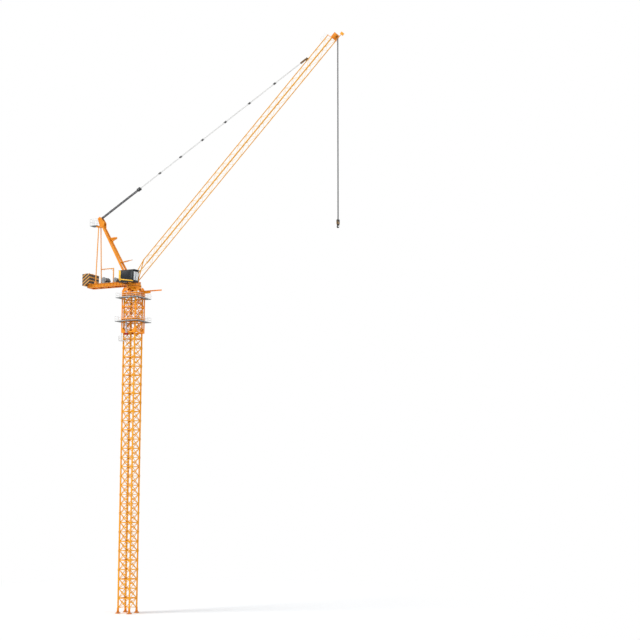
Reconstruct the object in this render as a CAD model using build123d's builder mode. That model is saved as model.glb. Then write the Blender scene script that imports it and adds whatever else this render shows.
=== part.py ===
"""Luffing-jib tower crane on four anchored feet, as a 1:10 scale model.

Millimetres of the model, so 100 mm stand for one metre of the real crane.
+X runs out along the jib, the cab hangs on the -Y side, +Z is up.
The origin lies on the mast axis, in the plane of the feet's undersides.
"""
import os
from math import cos, hypot, radians, sin

from build123d import *

os.makedirs("parts", exist_ok=True)

# Mast
leg_spacing = 214.0
leg_width = 20.0
panel_height = 150.0
base_panels = 4
section_panels = 2
section_count = 15
brace_width = 8.0
girt_width = 10.0
brace_depth = 8.0

# Feet
foot_height = 90.0
foot_plate_width = 64.0
foot_plate_thickness = 8.0
foot_socket_wall = 3.0
foot_gusset_height = 58.0
foot_gusset_thickness = 4.0
anchor_hole_diameter = 7.0
anchor_hole_spacing = 46.0

# Climbing cage round the top of the mast
cage_spacing = 262.0
cage_post_width = 16.0
cage_height = 655.0
cage_panels = 3
cage_brace_width = 9.0
cage_brace_depth = 8.0
cage_ring_width = 14.0

# Work platforms of the cage
platform_thickness = 6.0
upper_platform_drop = 70.0
upper_platform_width = 426.0
lower_platform_drop = 463.0
lower_platform_width = 436.0
rail_height = 78.0
rail_width = 4.0
rail_gap = 3.0
rail_bays = 3
hanging_platform_length = 150.0
hanging_platform_depth = 54.0
hanging_platform_drop = 140.0
hanger_width = 6.0

# Climbing cylinder and feed beam
cylinder_radius = 13.0
cylinder_head_gap = 6.0
cylinder_rod_radius = 7.0
cylinder_rod_length = 10.0
cylinder_offset = -26.0
cylinder_lug = 10.0
yoke_length = 76.0
yoke_width = 22.0
yoke_height = 30.0
feed_beam_reach = 540.0
feed_beam_width = 16.0
feed_beam_depth = 20.0
feed_beam_web = 5.0
feed_beam_drop = 8.0
feed_haunch_length = 150.0
feed_haunch_depth = 14.0

# Slewing support, ring and gap
support_height = 120.0
support_flange = 12.0
support_wall = 12.0
support_skirt = 54.0
skirt_window_width = 70.0
skirt_window_height = 26.0
skirt_window_pitch = 120.0
support_neck_width = 270.0
support_arch_radius = 34.0
support_opening = 166.0
ring_radius = 125.0
ring_bore_radius = 92.0
ring_height = 14.0
ring_spigot_radius = 106.0
ring_spigot_height = 10.0
slew_gap = 0.4

# Deck of the upperworks
deck_depth = 62.0
deck_tail = -870.0
deck_nose = 80.0
beam_offset = 84.0
beam_flange_width = 24.0
beam_flange_thickness = 6.0
beam_web = 7.0
deck_plate_thickness = 4.0
cross_member_width = 16.0
cross_member_pitch = 150.0
turntable_tail = -125.0
turntable_wall = 10.0
turntable_hole_radius = 84.0

# Counterweight
counterweight_tail = -937.0
counterweight_front = -794.0
counterweight_width = 280.0
counterweight_height = 175.0
counterweight_slabs = 3
counterweight_slit = 2.0
counterweight_lip = 24.0
lug_width = 16.0
lug_height = 14.0
lug_thickness = 6.0
lug_hole_radius = 4.0

# A-frame
front_foot_x = -66.0
front_foot_spread = 58.0
front_top_x = -624.0
front_top_spread = 27.0
front_leg_length = 30.0
front_leg_width = 24.0
front_tie_heights = (345.0, 771.0)
front_tie_depth = 20.0
rear_x = -706.0
rear_foot_spread = 84.0
rear_top_spread = 34.0
rear_tie_width = 13.0
rear_foot_length = 44.0
rear_foot_height = 16.0
head_base = 982.0
head_plate = 8.0
head_back_x = -746.0
head_front_x = -596.0
head_width = 96.0
head_cheek_gap = 60.0
head_cheek_thickness = 6.0
head_cheek_outline = ((-692.0, 0.0), (-692.0, 38.0), (-732.0, 141.0), (-690.0, 171.0), (-660.0, 156.0),
                      (-596.0, 60.0), (-596.0, 0.0))
head_web_height = 36.0
head_brow_low = (-608.0, 64.0)
head_brow_high = (-640.0, 112.0)
head_bearer = 20.0
head_sheave_radius = 30.0
head_sheave_x = -690.0
head_sheave_rise = 140.0
head_platform_length = 140.0
head_platform_width = 128.0
head_platform_rise = 24.0
head_rail_height = 116.0
buffer_radius = 18.0
buffer_length = 135.0
buffer_rod_radius = 5.0
buffer_rod_lift = 30.0
buffer_rod_length = 220.0
buffer_foot = 5.0

# Winches and service frame
hoist_winch_x = -560.0
hoist_winch_length = 186.0
hoist_winch_width = 150.0
luff_winch_x = -334.0
luff_winch_length = 80.0
luff_winch_width = 132.0
winch_base = 10.0
winch_cheek = 7.0
hoist_drum_radius = 40.0
luff_drum_radius = 30.0
drum_flange = 8.0
drum_floor_gap = 4.0
drum_shaft_radius = 7.0
shaft_clearance = 0.05
hoist_motor_radius = 22.0
luff_motor_radius = 16.0
motor_length = 46.0
service_post_x = -466.0
service_post_y = 85.0
service_post_height = 281.0
service_post_width = 14.0
service_bar_reach = 258.0

# Cab
cab_rear = -122.0
cab_length = 284.0
cab_width = 156.0
cab_height = 196.0
cab_floor_drop = 44.0
cab_standoff = 16.0
cab_wall = 6.0
cab_post = 16.0
cab_sill = 22.0
cab_glass_thickness = 4.0
cab_roof_thickness = 8.0
cab_visor = 24.0
cab_eaves = 5.0
cab_arm_height = 14.0
cab_arm_width = 18.0

# Jib, in its own frame: along from the foot pin, across, and up from the bottom chords
jib_angle = 45.0
pivot_x = 34.0
pivot_height = 20.0
jib_length = 5180.0
jib_width = 160.0
jib_depth = 132.0
bottom_chord_radius = 7.5
top_chord_radius = 7.5
jib_foot_length = 34.0
jib_taper_length = 360.0
jib_bays = 24
lacing_width = 3.6
lacing_depth = 3.6
tip_axle_lead = 64.0
joint_bays = 5
joint_collar = 2.5
joint_length = 18.0
foot_lug_radius = 12.0
foot_lug_thickness = 12.0
foot_beam_height = 12.0
foot_leg_width = 11.0
pin_radius = 5.0
pin_clearance = 0.08
pin_head = 3.0
bracket_plate = 6.0
bracket_gap = 0.6

# Jib head, hoist rope and hook
tip_box_length = 96.0
tip_box_height = 52.0
tip_box_web = 16.0
tip_slot_width = 48.0
tip_axle_radius = 5.0
tip_sheave_radius = 26.0
tip_sheave_width = 9.0
fall_spread = 26.0
rope_radius = 2.8
rope_top_drop = 44.0
guide_width = 14.0
guide_height = 14.0
guide_wall = 5.0
tip_arm_length = 34.0
tip_arm_width = 7.0
lamp_length = 44.0
lamp_width = 40.0
lamp_height = 44.0
hook_block_top = 6124.0
hook_block_height = 76.0
hook_block_width = 60.0
hook_cheek = 7.0
hook_cheek_gap = 17.0
hook_sheave_radius = 22.0
hook_corner = 14.0
hook_spacer = 10.0
hook_foot = 14.0
hook_pin_radius = 4.0
hook_shank_radius = 5.0
hook_bowl_radius = 17.0
hook_stock_radius = 6.0
hook_collar_height = 18.0
hook_collar_radius = 14.0
hook_sweep = 250.0
swivel_clearance = 0.08
body_gap = 0.3

# Luffing gear between the A-frame head and the jib
anchor_setback = 575.0
anchor_up = 20.0
anchor_length = 60.0
anchor_thickness = 22.0
anchor_link_length = 140.0
anchor_link_lead = 20.0
anchor_link_depth = 16.0
pendant_radius = 2.6
pendant_spread = 22.0
pendant_count = 7
pendant_growth = 1.035
pendant_link_length = 22.0
pendant_link_width = 34.0
pendant_link_depth = 9.0
block_distance = 850.0
block_length = 64.0
block_width = 52.0
block_depth = 40.0
block_cheek = 6.0
block_sheave_radius = 24.0
luff_rope_radius = 3.0
luff_falls = 4
luff_fall_pitch = 11.0
luff_row_pitch = 17.0

# Levels worked out from the sizes above
panels = base_panels + section_panels * section_count
mast_top = foot_height + panels * panel_height
support_top = mast_top + support_height
deck_bottom = support_top + 2 * ring_height + slew_gap
deck_top = deck_bottom + deck_depth
beam_inner = beam_offset - beam_flange_width / 2
beam_outer = beam_offset + beam_flange_width / 2
cage_bottom = mast_top - cage_height
cage_outer = cage_spacing / 2 + cage_post_width / 2
pivot_z = deck_top + pivot_height
head_level = deck_top + head_base
chord_end = jib_length - tip_axle_lead
anchor_along = jib_length - anchor_setback

mast_turns = {"jib": 0, "far": 90, "tail": 180, "near": 270}


def side_plane(turn, distance, height):
    """Upright plane facing outwards from the mast axis, with its own y upwards."""
    outward = Vector(1, 0, 0).rotate(Axis.Z, turn)
    sideways = Vector(0, 1, 0).rotate(Axis.Z, turn)
    return Plane(origin=outward * distance + Vector(0, 0, height), x_dir=sideways, z_dir=outward)


def square_bar(start, end, width, depth=None):
    """Rectangular bar from start to end, added to the part being built."""
    run = Vector(end) - Vector(start)
    across = Vector(0, 1, 0) if abs(run.normalized().Y) < 0.9 else Vector(1, 0, 0)
    with BuildSketch(Plane(origin=start, x_dir=across, z_dir=run)) as section:
        Rectangle(width, depth or width)
    extrude(section.sketch, amount=run.length)


def round_bar(start, end, radius, mode=Mode.ADD):
    """Round bar from start to end, added to the part being built or cut out of it."""
    run = Vector(end) - Vector(start)
    with BuildSketch(Plane(origin=start, z_dir=run)) as section:
        Circle(radius)
    extrude(section.sketch, amount=run.length, mode=mode)


def x_lattice(width, panel, count, bar, girt):
    """Flat lattice standing on the sketch's origin: a plate with the four windows of each X panel cut out."""
    rise = panel / width
    inset = bar / 2 * hypot(width, panel) / width
    half_base = (panel / 2 - girt / 2 - inset) / rise
    edge = width / 2 + bar
    edge_rise = edge * rise - inset
    with Locations((0, count * panel / 2)):
        Rectangle(width, count * panel)
        with GridLocations(0, panel, 1, count):
            for way in (-1, 1):
                girt_level = way * (panel - girt) / 2
                Polygon((0, way * inset), (half_base, girt_level), (-half_base, girt_level), align=None,
                        mode=Mode.SUBTRACT)
                Polygon((way * inset / rise, 0), (way * edge, edge_rise), (way * edge, -edge_rise),
                        align=None, mode=Mode.SUBTRACT)


def zigzag_lattice(length, bays, low, high, bar):
    """Flat zigzag along x between two chords: a plate with a pointed window cut at each turn."""
    bay = length / bays
    clear = high - low
    inset = bar / 2 * hypot(bay, clear) / bay
    far_edge = clear + bar
    half_base = (far_edge - inset) * bay / clear
    with Locations((length / 2, (low + high) / 2)):
        Rectangle(length, clear)
    for way, chord, first in ((1, low, 0), (-1, high, 1)):
        with Locations(*[(turn * bay, chord) for turn in range(first, bays + 1, 2)]):
            Polygon((0, way * inset), (half_base, way * far_edge), (-half_base, way * far_edge), align=None,
                    mode=Mode.SUBTRACT)


def save(builder, name):
    builder.part.label = name
    export_step(builder.part, f"parts/{name}.step")


# Feet: base plate with anchor holes, socket for the leg and four gussets
socket_width = leg_width + 2 * foot_socket_wall
gusset_reach = (foot_plate_width - socket_width) / 2
with BuildPart() as mast_feet:
    with BuildSketch():
        with GridLocations(leg_spacing, leg_spacing, 2, 2):
            Rectangle(foot_plate_width, foot_plate_width)
            with GridLocations(anchor_hole_spacing, anchor_hole_spacing, 2, 2):
                Circle(anchor_hole_diameter / 2, mode=Mode.SUBTRACT)
    extrude(amount=foot_plate_thickness)
    with BuildSketch(Plane.XY.offset(foot_plate_thickness)):
        with GridLocations(leg_spacing, leg_spacing, 2, 2):
            Rectangle(socket_width, socket_width)
    extrude(amount=foot_height - foot_plate_thickness)
    for corner in GridLocations(leg_spacing, leg_spacing, 2, 2):
        for turn in (0, 90, 180, 270):
            outward = Vector(1, 0, 0).rotate(Axis.Z, turn)
            root = corner.position + outward * socket_width / 2 + Vector(0, 0, foot_plate_thickness)
            with BuildSketch(Plane(origin=root, x_dir=outward, z_dir=outward.cross(Vector(0, 0, 1)))):
                with BuildLine():
                    Polyline((0, 0), (gusset_reach, 0), (0, foot_gusset_height), close=True)
                make_face()
            extrude(amount=foot_gusset_thickness / 2, both=True)
save(mast_feet, "mast_feet")

# Legs of the mast, one square tube at each corner
with BuildPart() as mast_legs:
    with BuildSketch(Plane.XY.offset(foot_height)):
        with GridLocations(leg_spacing, leg_spacing, 2, 2):
            Rectangle(leg_width, leg_width)
    extrude(amount=mast_top - foot_height)
save(mast_legs, "mast_legs")

# Flat sides of the mast: X panels between girts, two to a section
mast_clear = leg_spacing - leg_width
for side, turn in mast_turns.items():
    with BuildPart() as mast_side:
        with BuildSketch(side_plane(turn, leg_spacing / 2, foot_height)):
            x_lattice(mast_clear, panel_height, panels, brace_width, girt_width)
        extrude(amount=brace_depth / 2, both=True)
    save(mast_side, f"mast_side_{side}")

# Slewing support: windowed square skirt on the legs, arched neck from square to round, round flange
flange_width = cage_spacing + cage_post_width
neck_bottom = mast_top + support_skirt
neck_top = support_top - support_flange
with BuildPart() as slew_support:
    with BuildSketch(Plane.XY.offset(neck_bottom)):
        Rectangle(support_neck_width, support_neck_width)
    with BuildSketch(Plane.XY.offset(neck_top)):
        Circle(ring_radius)
    loft()
    with BuildSketch(Plane.XY.offset(neck_bottom)):
        Rectangle(support_neck_width - 2 * support_wall, support_neck_width - 2 * support_wall)
    with BuildSketch(Plane.XY.offset(neck_top)):
        Circle(ring_radius - support_wall)
    loft(mode=Mode.SUBTRACT)
    for turn in (0, 90):
        with BuildSketch(side_plane(turn, 0, neck_bottom)):
            Circle(support_arch_radius)
        extrude(amount=support_neck_width, both=True, mode=Mode.SUBTRACT)
    with BuildSketch(Plane.XY.offset(mast_top)):
        Rectangle(flange_width, flange_width)
        Rectangle(support_opening, support_opening, mode=Mode.SUBTRACT)
    extrude(amount=support_flange)
    with BuildSketch(Plane.XY.offset(mast_top)):
        Rectangle(flange_width, flange_width)
        Rectangle(flange_width - 2 * support_wall, flange_width - 2 * support_wall, mode=Mode.SUBTRACT)
    extrude(amount=support_skirt)
    for turn in (0, 90):
        with BuildSketch(side_plane(turn, 0, (neck_bottom + mast_top + support_flange) / 2)):
            with GridLocations(skirt_window_pitch, 0, 2, 1):
                SlotOverall(skirt_window_width, skirt_window_height)
        extrude(amount=flange_width, both=True, mode=Mode.SUBTRACT)
    with BuildSketch(Plane.XY.offset(neck_top)):
        Circle(ring_radius)
        Circle(ring_bore_radius, mode=Mode.SUBTRACT)
    extrude(amount=support_flange)
save(slew_support, "slew_support")

# Slewing ring: the fixed half carries a spigot, the turning half runs round it
with BuildPart() as slew_ring_fixed:
    with BuildSketch(Plane.XY.offset(support_top)):
        Circle(ring_radius)
        Circle(ring_bore_radius, mode=Mode.SUBTRACT)
    extrude(amount=ring_height)
    with BuildSketch(Plane.XY.offset(support_top + ring_height)):
        Circle(ring_spigot_radius)
        Circle(ring_bore_radius, mode=Mode.SUBTRACT)
    extrude(amount=ring_spigot_height)
save(slew_ring_fixed, "slew_ring_fixed")

with BuildPart() as slew_ring_turning:
    with BuildSketch(Plane.XY.offset(support_top + ring_height + slew_gap)):
        Circle(ring_radius)
        Circle(ring_spigot_radius + slew_gap, mode=Mode.SUBTRACT)
    extrude(amount=ring_height)
save(slew_ring_turning, "slew_ring_turning")

# Climbing cage: corner posts under the slewing support, and four braced sides
with BuildPart() as cage_posts:
    with BuildSketch(Plane.XY.offset(cage_bottom)):
        with GridLocations(cage_spacing, cage_spacing, 2, 2):
            Rectangle(cage_post_width, cage_post_width)
    extrude(amount=cage_height)
save(cage_posts, "cage_posts")

cage_clear = cage_spacing - cage_post_width
cage_panel = cage_height / cage_panels
for side, turn in mast_turns.items():
    with BuildPart() as cage_side:
        with BuildSketch(side_plane(turn, cage_spacing / 2, cage_bottom)):
            x_lattice(cage_clear, cage_panel, cage_panels, cage_brace_width, cage_ring_width)
        extrude(amount=cage_brace_depth / 2, both=True)
    save(cage_side, f"cage_side_{side}")

# Work platforms round the cage, and a small one hung under its near side
cage_face = cage_spacing / 2 + cage_brace_depth / 2
platforms = ((upper_platform_width, mast_top - upper_platform_drop),
             (lower_platform_width, mast_top - lower_platform_drop))
hanging_floor = cage_bottom - hanging_platform_drop
hanging_end = -hanger_width / 2
hanging_middle = Vector(hanging_end - hanging_platform_length / 2, -cage_outer - hanging_platform_depth / 2)
with BuildPart() as cage_platforms:
    for width, height in platforms:
        with BuildSketch(Plane.XY.offset(height - platform_thickness)):
            Rectangle(width, width)
            Rectangle(2 * cage_outer, 2 * cage_outer, mode=Mode.SUBTRACT)
        extrude(amount=platform_thickness)
    with BuildSketch(Plane.XY.offset(hanging_floor)):
        with Locations(hanging_middle):
            Rectangle(hanging_platform_length, hanging_platform_depth)
    extrude(amount=platform_thickness)
    for hanger_x in (-cage_spacing / 2, hanging_end - hanger_width / 2):
        inner = Vector(hanger_x, -cage_outer - hanger_width / 2, hanging_floor)
        square_bar(inner, inner + Vector(0, 0, hanging_platform_drop + cage_ring_width / 2), hanger_width)
    hook_level = cage_bottom + cage_ring_width / 2 - hanger_width / 2
    square_bar((hanger_x, -cage_outer, hook_level), (hanger_x, -cage_face, hook_level), hanger_width)
save(cage_platforms, "cage_platforms")

# Rails: one flat frame of posts and two bars along every side of the platforms
with BuildPart() as cage_railings:
    frames = [(side_plane(turn, width / 2 - rail_width, height), width - 2 * rail_width - 2 * rail_gap)
              for width, height in platforms for turn in mast_turns.values()]
    hanging_edge = cage_outer + hanging_platform_depth - rail_width
    hanging_rail = side_plane(mast_turns["near"], hanging_edge, hanging_floor + platform_thickness)
    hanging_rail.origin = hanging_rail.origin + Vector(hanging_middle.X, 0, 0)
    frames.append((hanging_rail, hanging_platform_length))
    for plane, run in frames:
        with BuildSketch(plane):
            with Locations((0, rail_height / 2)):
                Rectangle(run, rail_width)
                with GridLocations((run - rail_width) / rail_bays, 0, rail_bays + 1, 1):
                    Rectangle(rail_width, rail_height)
            with Locations((0, rail_height - rail_width / 2)):
                Rectangle(run, rail_width)
        extrude(amount=rail_width)
save(cage_railings, "cage_railings")

# Climbing cylinder clamped to the bottom ring of the cage, and the yoke at the end of its rod
cylinder_y = -cage_face - cylinder_lug - cylinder_radius
barrel_foot = Vector(cylinder_offset, cylinder_y, cage_bottom)
barrel_top = mast_top - lower_platform_drop - platform_thickness - cylinder_head_gap
rod_end = barrel_foot - Vector(0, 0, cylinder_rod_length)
with BuildPart() as climbing_cylinder:
    round_bar(barrel_foot, Vector(cylinder_offset, cylinder_y, barrel_top), cylinder_radius)
    round_bar(rod_end, barrel_foot, cylinder_rod_radius)
    clamp_level = cage_bottom + cage_ring_width / 4
    square_bar((cylinder_offset, cylinder_y, clamp_level), (cylinder_offset, -cage_face, clamp_level),
               2 * cylinder_radius, cage_ring_width / 2)
save(climbing_cylinder, "climbing_cylinder")

with BuildPart() as climbing_yoke:
    with BuildSketch(Plane.XY.offset(rod_end.Z - yoke_height)):
        with Locations(rod_end):
            SlotOverall(yoke_length, yoke_width)
    extrude(amount=yoke_height)
save(climbing_yoke, "climbing_yoke")

# Feed beam for new mast sections: an I-section on the support's skirt, with a haunch at its root
feed_beam_low = neck_bottom - feed_beam_drop - feed_beam_depth
with BuildPart() as feed_beam:
    with BuildSketch(Plane.YZ.offset(cage_outer)):
        with Locations((0, feed_beam_low + feed_beam_depth / 2)):
            Rectangle(feed_beam_width, feed_beam_depth)
            for way in (-1, 1):
                with Locations((way * (feed_beam_width + feed_beam_web) / 4, 0)):
                    Rectangle((feed_beam_width - feed_beam_web) / 2, feed_beam_depth - 2 * feed_beam_web,
                              mode=Mode.SUBTRACT)
    extrude(amount=feed_beam_reach - cage_outer)
    with BuildSketch(Plane.XZ):
        with BuildLine():
            Polyline((cage_outer, feed_beam_low), (cage_outer + feed_haunch_length, feed_beam_low),
                     (cage_outer, feed_beam_low - feed_haunch_depth), close=True)
        make_face()
    extrude(amount=feed_beam_width / 2, both=True)
save(feed_beam, "feed_beam")

# Deck: two I-beams side by side, cross members between them and a plate on top
with BuildPart() as deck_beams:
    with BuildSketch(Plane.YZ.offset(deck_tail)):
        for way in (-1, 1):
            with Locations((way * beam_offset, deck_bottom + deck_depth / 2)):
                Rectangle(beam_web, deck_depth)
                with GridLocations(0, deck_depth - beam_flange_thickness, 1, 2):
                    Rectangle(beam_flange_width, beam_flange_thickness)
    extrude(amount=deck_nose - deck_tail)
save(deck_beams, "deck_beams")

member_count = int((turntable_tail - deck_tail) / cross_member_pitch)
member_depth = deck_depth - deck_plate_thickness
with BuildPart() as deck_floor:
    with BuildSketch(Plane.XY.offset(deck_bottom)):
        for member in range(member_count):
            with Locations((deck_tail + cross_member_width / 2 + member * cross_member_pitch, 0)):
                Rectangle(cross_member_width, 2 * beam_inner)
    extrude(amount=member_depth)
    with BuildSketch(Plane.XY.offset(deck_bottom + member_depth)):
        with Locations(((deck_tail + turntable_tail) / 2, 0)):
            Rectangle(turntable_tail - deck_tail, 2 * beam_inner)
    extrude(amount=deck_plate_thickness)
save(deck_floor, "deck_floor")

# Turntable: box girder between the beams, over the slewing ring, with a manhole in its floor
with BuildPart() as turntable:
    with BuildSketch(Plane.XZ):
        with Locations(((turntable_tail + deck_nose) / 2, deck_bottom + deck_depth / 2)):
            Rectangle(deck_nose - turntable_tail, deck_depth)
            Rectangle(deck_nose - turntable_tail - 2 * turntable_wall, deck_depth - 2 * turntable_wall,
                      mode=Mode.SUBTRACT)
    extrude(amount=beam_inner, both=True)
    with BuildSketch(Plane.XY.offset(deck_bottom)):
        Circle(ring_radius)
        Rectangle(2 * ring_radius, 2 * beam_inner, mode=Mode.INTERSECT)
    extrude(amount=turntable_wall)
    with BuildSketch(Plane.XY.offset(deck_bottom)):
        Circle(turntable_hole_radius)
        Rectangle(2 * turntable_hole_radius, 2 * (beam_inner - turntable_wall), mode=Mode.INTERSECT)
    extrude(amount=turntable_wall, mode=Mode.SUBTRACT)
save(turntable, "turntable")

# Counterweight slabs, side by side, hooked over the tail of the deck, each with a lifting lug
slab_width = (counterweight_width - (counterweight_slabs - 1) * counterweight_slit) / counterweight_slabs
slab_pitch = slab_width + counterweight_slit
slab_top = deck_top + counterweight_height
slab_middle = (counterweight_tail + counterweight_front) / 2
with BuildPart() as counterweights:
    for slab in range(counterweight_slabs):
        slab_y = (slab - (counterweight_slabs - 1) / 2) * slab_pitch
        with BuildSketch(Plane.XZ.offset(-slab_y)):
            with BuildLine():
                Polyline((counterweight_tail, deck_top - counterweight_lip),
                         (deck_tail, deck_top - counterweight_lip), (deck_tail, deck_top),
                         (counterweight_front, deck_top), (counterweight_front, slab_top),
                         (counterweight_tail, slab_top), close=True)
            make_face()
        extrude(amount=slab_width / 2, both=True)
        with BuildSketch(Plane.XZ.offset(-slab_y)):
            with Locations((slab_middle, slab_top + lug_height / 2)):
                Rectangle(lug_width, lug_height)
                Circle(lug_hole_radius, mode=Mode.SUBTRACT)
        extrude(amount=lug_thickness / 2, both=True)
save(counterweights, "counterweights")

# A-frame, front: two box legs leaning back to the head, with a tie for each backstop
leg_foot = {way: Vector(front_foot_x, way * front_foot_spread, deck_top) for way in (-1, 1)}
leg_top = {way: Vector(front_top_x, way * front_top_spread, head_level) for way in (-1, 1)}
with BuildPart() as a_frame_front_legs:
    for way in (-1, 1):
        lean = (leg_top[way] - leg_foot[way]).normalized() * front_leg_length
        square_bar(leg_foot[way] - lean, leg_top[way] + lean, front_leg_width, front_leg_length)
    for height in front_tie_heights:
        share = height / head_base
        start = leg_foot[-1] + (leg_top[-1] - leg_foot[-1]) * share
        end = leg_foot[1] + (leg_top[1] - leg_foot[1]) * share
        square_bar(start, end, front_tie_depth)
    split(bisect_by=Plane.XY.offset(deck_top), keep=Keep.TOP)
    split(bisect_by=Plane.XY.offset(head_level), keep=Keep.BOTTOM)
save(a_frame_front_legs, "a_frame_front_legs")

# Backstops on the ties: a thin spring rod below, a thick rubber buffer above
backstop_sizes = ((front_tie_heights[0], buffer_rod_radius, buffer_rod_length, buffer_rod_lift),
                  (front_tie_heights[1], buffer_radius, buffer_length, 0))
with BuildPart() as backstops:
    for height, radius, length, lift in backstop_sizes:
        tie_x = front_foot_x + (front_top_x - front_foot_x) * height / head_base + front_tie_depth / 2
        root = Vector(tie_x, 0, deck_top + height)
        bend = root + Vector(buffer_foot, 0, 0)
        round_bar(root, bend, radius)
        round_bar(bend, root + Vector(length, 0, lift), radius)
save(backstops, "backstops")

# A-frame, rear: two ties from shoes on the deck beams up to the head
with BuildPart() as a_frame_rear_ties:
    for way in (-1, 1):
        tie_foot = Vector(rear_x, way * rear_foot_spread, deck_top)
        tie_top = Vector(rear_x, way * rear_top_spread, head_level)
        square_bar(tie_foot, tie_foot + Vector(0, 0, rear_foot_height), rear_tie_width, rear_foot_length)
        stretch = (tie_top - tie_foot).normalized() * rear_tie_width
        square_bar(tie_foot - stretch, tie_top + stretch, rear_tie_width)
    split(bisect_by=Plane.XY.offset(deck_top), keep=Keep.TOP)
    split(bisect_by=Plane.XY.offset(head_level), keep=Keep.BOTTOM)
save(a_frame_rear_ties, "a_frame_rear_ties")

# A-frame head: base plate on the legs, bearer for the platform, two leaning cheeks and plates between them
sheave_centre = Vector(head_sheave_x, 0, head_level + head_sheave_rise)
cheek_level = head_level + head_plate
head_floor = cheek_level + head_platform_rise
with BuildPart() as a_frame_head:
    with BuildSketch(Plane.XY.offset(head_level)):
        with Locations(((head_back_x + head_front_x) / 2, 0)):
            Rectangle(head_front_x - head_back_x, head_width)
    extrude(amount=head_plate)
    for way in (-1, 1):
        with BuildSketch(Plane.XZ.offset(-way * (head_cheek_gap + head_cheek_thickness) / 2)):
            with BuildLine():
                Polyline(*[(x, cheek_level + rise) for x, rise in head_cheek_outline], close=True)
            make_face()
        extrude(amount=head_cheek_thickness / 2, both=True)
    with BuildSketch(Plane.XY.offset(cheek_level)):
        with Locations((head_cheek_outline[0][0] + head_plate / 2, 0)):
            Rectangle(head_plate, head_cheek_gap)
    extrude(amount=head_web_height)
    brow_low = Vector(head_brow_low[0], 0, cheek_level + head_brow_low[1] - head_plate)
    brow_high = Vector(head_brow_high[0], 0, cheek_level + head_brow_high[1] - head_plate)
    square_bar(brow_low, brow_high, head_cheek_gap, head_plate)
    with BuildSketch(Plane.XY.offset(cheek_level)):
        with Locations((head_back_x + head_bearer / 2, 0)):
            Rectangle(head_bearer, head_width)
    extrude(amount=head_floor - platform_thickness - cheek_level)
save(a_frame_head, "a_frame_head")

with BuildPart() as head_sheaves:
    half_axle = Vector(0, head_cheek_gap / 2, 0)
    round_bar(sheave_centre - half_axle, sheave_centre + half_axle, drum_shaft_radius)
    for fall in range(luff_falls):
        rim_y = (fall - (luff_falls - 1) / 2) * luff_fall_pitch
        rim = sheave_centre + Vector(0, rim_y, 0)
        half_rim = Vector(0, luff_fall_pitch / 3, 0)
        round_bar(rim - half_rim, rim + half_rim, head_sheave_radius)
save(head_sheaves, "head_sheaves")

# Platform behind the A-frame head, with rails along its two sides and its back
head_platform_back = head_back_x + head_bearer - head_platform_length
head_platform_middle = head_platform_back + head_platform_length / 2
with BuildPart() as head_platform:
    with BuildSketch(Plane.XY.offset(head_floor - platform_thickness)):
        with Locations((head_platform_middle, 0)):
            Rectangle(head_platform_length, head_platform_width)
    extrude(amount=platform_thickness)
save(head_platform, "head_platform")

with BuildPart() as head_platform_rails:
    rail_frames = [(Plane.XZ.offset(way * (head_platform_width / 2 - rail_width)), head_platform_middle,
                    head_platform_length - 2 * rail_width - 2 * rail_gap, way) for way in (-1, 1)]
    rail_frames.append((Plane.YZ.offset(head_platform_back), 0, head_platform_width, 1))
    for plane, middle, run, way in rail_frames:
        with BuildSketch(plane):
            with Locations((middle, head_floor + head_rail_height / 2)):
                Rectangle(run, rail_width)
                with GridLocations(run - rail_width, 0, 2, 1):
                    Rectangle(rail_width, head_rail_height)
            with Locations((middle, head_floor + head_rail_height - rail_width / 2)):
                Rectangle(run, rail_width)
        extrude(amount=way * rail_width)
save(head_platform_rails, "head_platform_rails")

# Winches: base with two cheeks, a flanged drum on its shaft and a motor outside the far cheek
winches = ((hoist_winch_x, hoist_winch_length, hoist_winch_width, hoist_drum_radius, hoist_motor_radius),
           (luff_winch_x, luff_winch_length, luff_winch_width, luff_drum_radius, luff_motor_radius))


def drum_axis(middle, drum):
    return Vector(middle, 0, deck_top + winch_base + drum_floor_gap + drum + drum_flange)


with BuildPart() as winch_frames:
    for middle, length, width, drum, motor in winches:
        with BuildSketch(Plane.XY.offset(deck_top)):
            with Locations((middle, 0)):
                Rectangle(length, width)
        extrude(amount=winch_base)
        axis = drum_axis(middle, drum)
        cheek_rise = axis.Z - deck_top - winch_base
        for way in (-1, 1):
            with BuildSketch(Plane.XZ.offset(-way * (width - winch_cheek) / 2)):
                with Locations((middle, axis.Z - cheek_rise / 2)):
                    Rectangle(drum + drum_flange, cheek_rise)
                with Locations((middle, axis.Z)):
                    Circle((drum + drum_flange) / 2)
                    Circle(drum_shaft_radius + shaft_clearance, mode=Mode.SUBTRACT)
            extrude(amount=winch_cheek / 2, both=True)
save(winch_frames, "winch_frames")

with BuildPart() as winch_drums:
    for middle, length, width, drum, motor in winches:
        axis = drum_axis(middle, drum)
        barrel = Vector(0, width / 2 - winch_cheek - shaft_clearance, 0)
        flange = Vector(0, winch_cheek, 0)
        shaft = Vector(0, width / 2, 0)
        round_bar(axis - barrel, axis + barrel, drum)
        round_bar(axis - shaft, axis + shaft, drum_shaft_radius)
        for way in (-1, 1):
            round_bar(axis + (barrel - flange) * way, axis + barrel * way, drum + drum_flange)
save(winch_drums, "winch_drums")

with BuildPart() as winch_motors:
    for middle, length, width, drum, motor in winches:
        motor_foot = drum_axis(middle, drum) + Vector(0, width / 2, 0)
        round_bar(motor_foot, motor_foot + Vector(0, motor_length, 0), motor)
save(winch_motors, "winch_motors")

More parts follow.
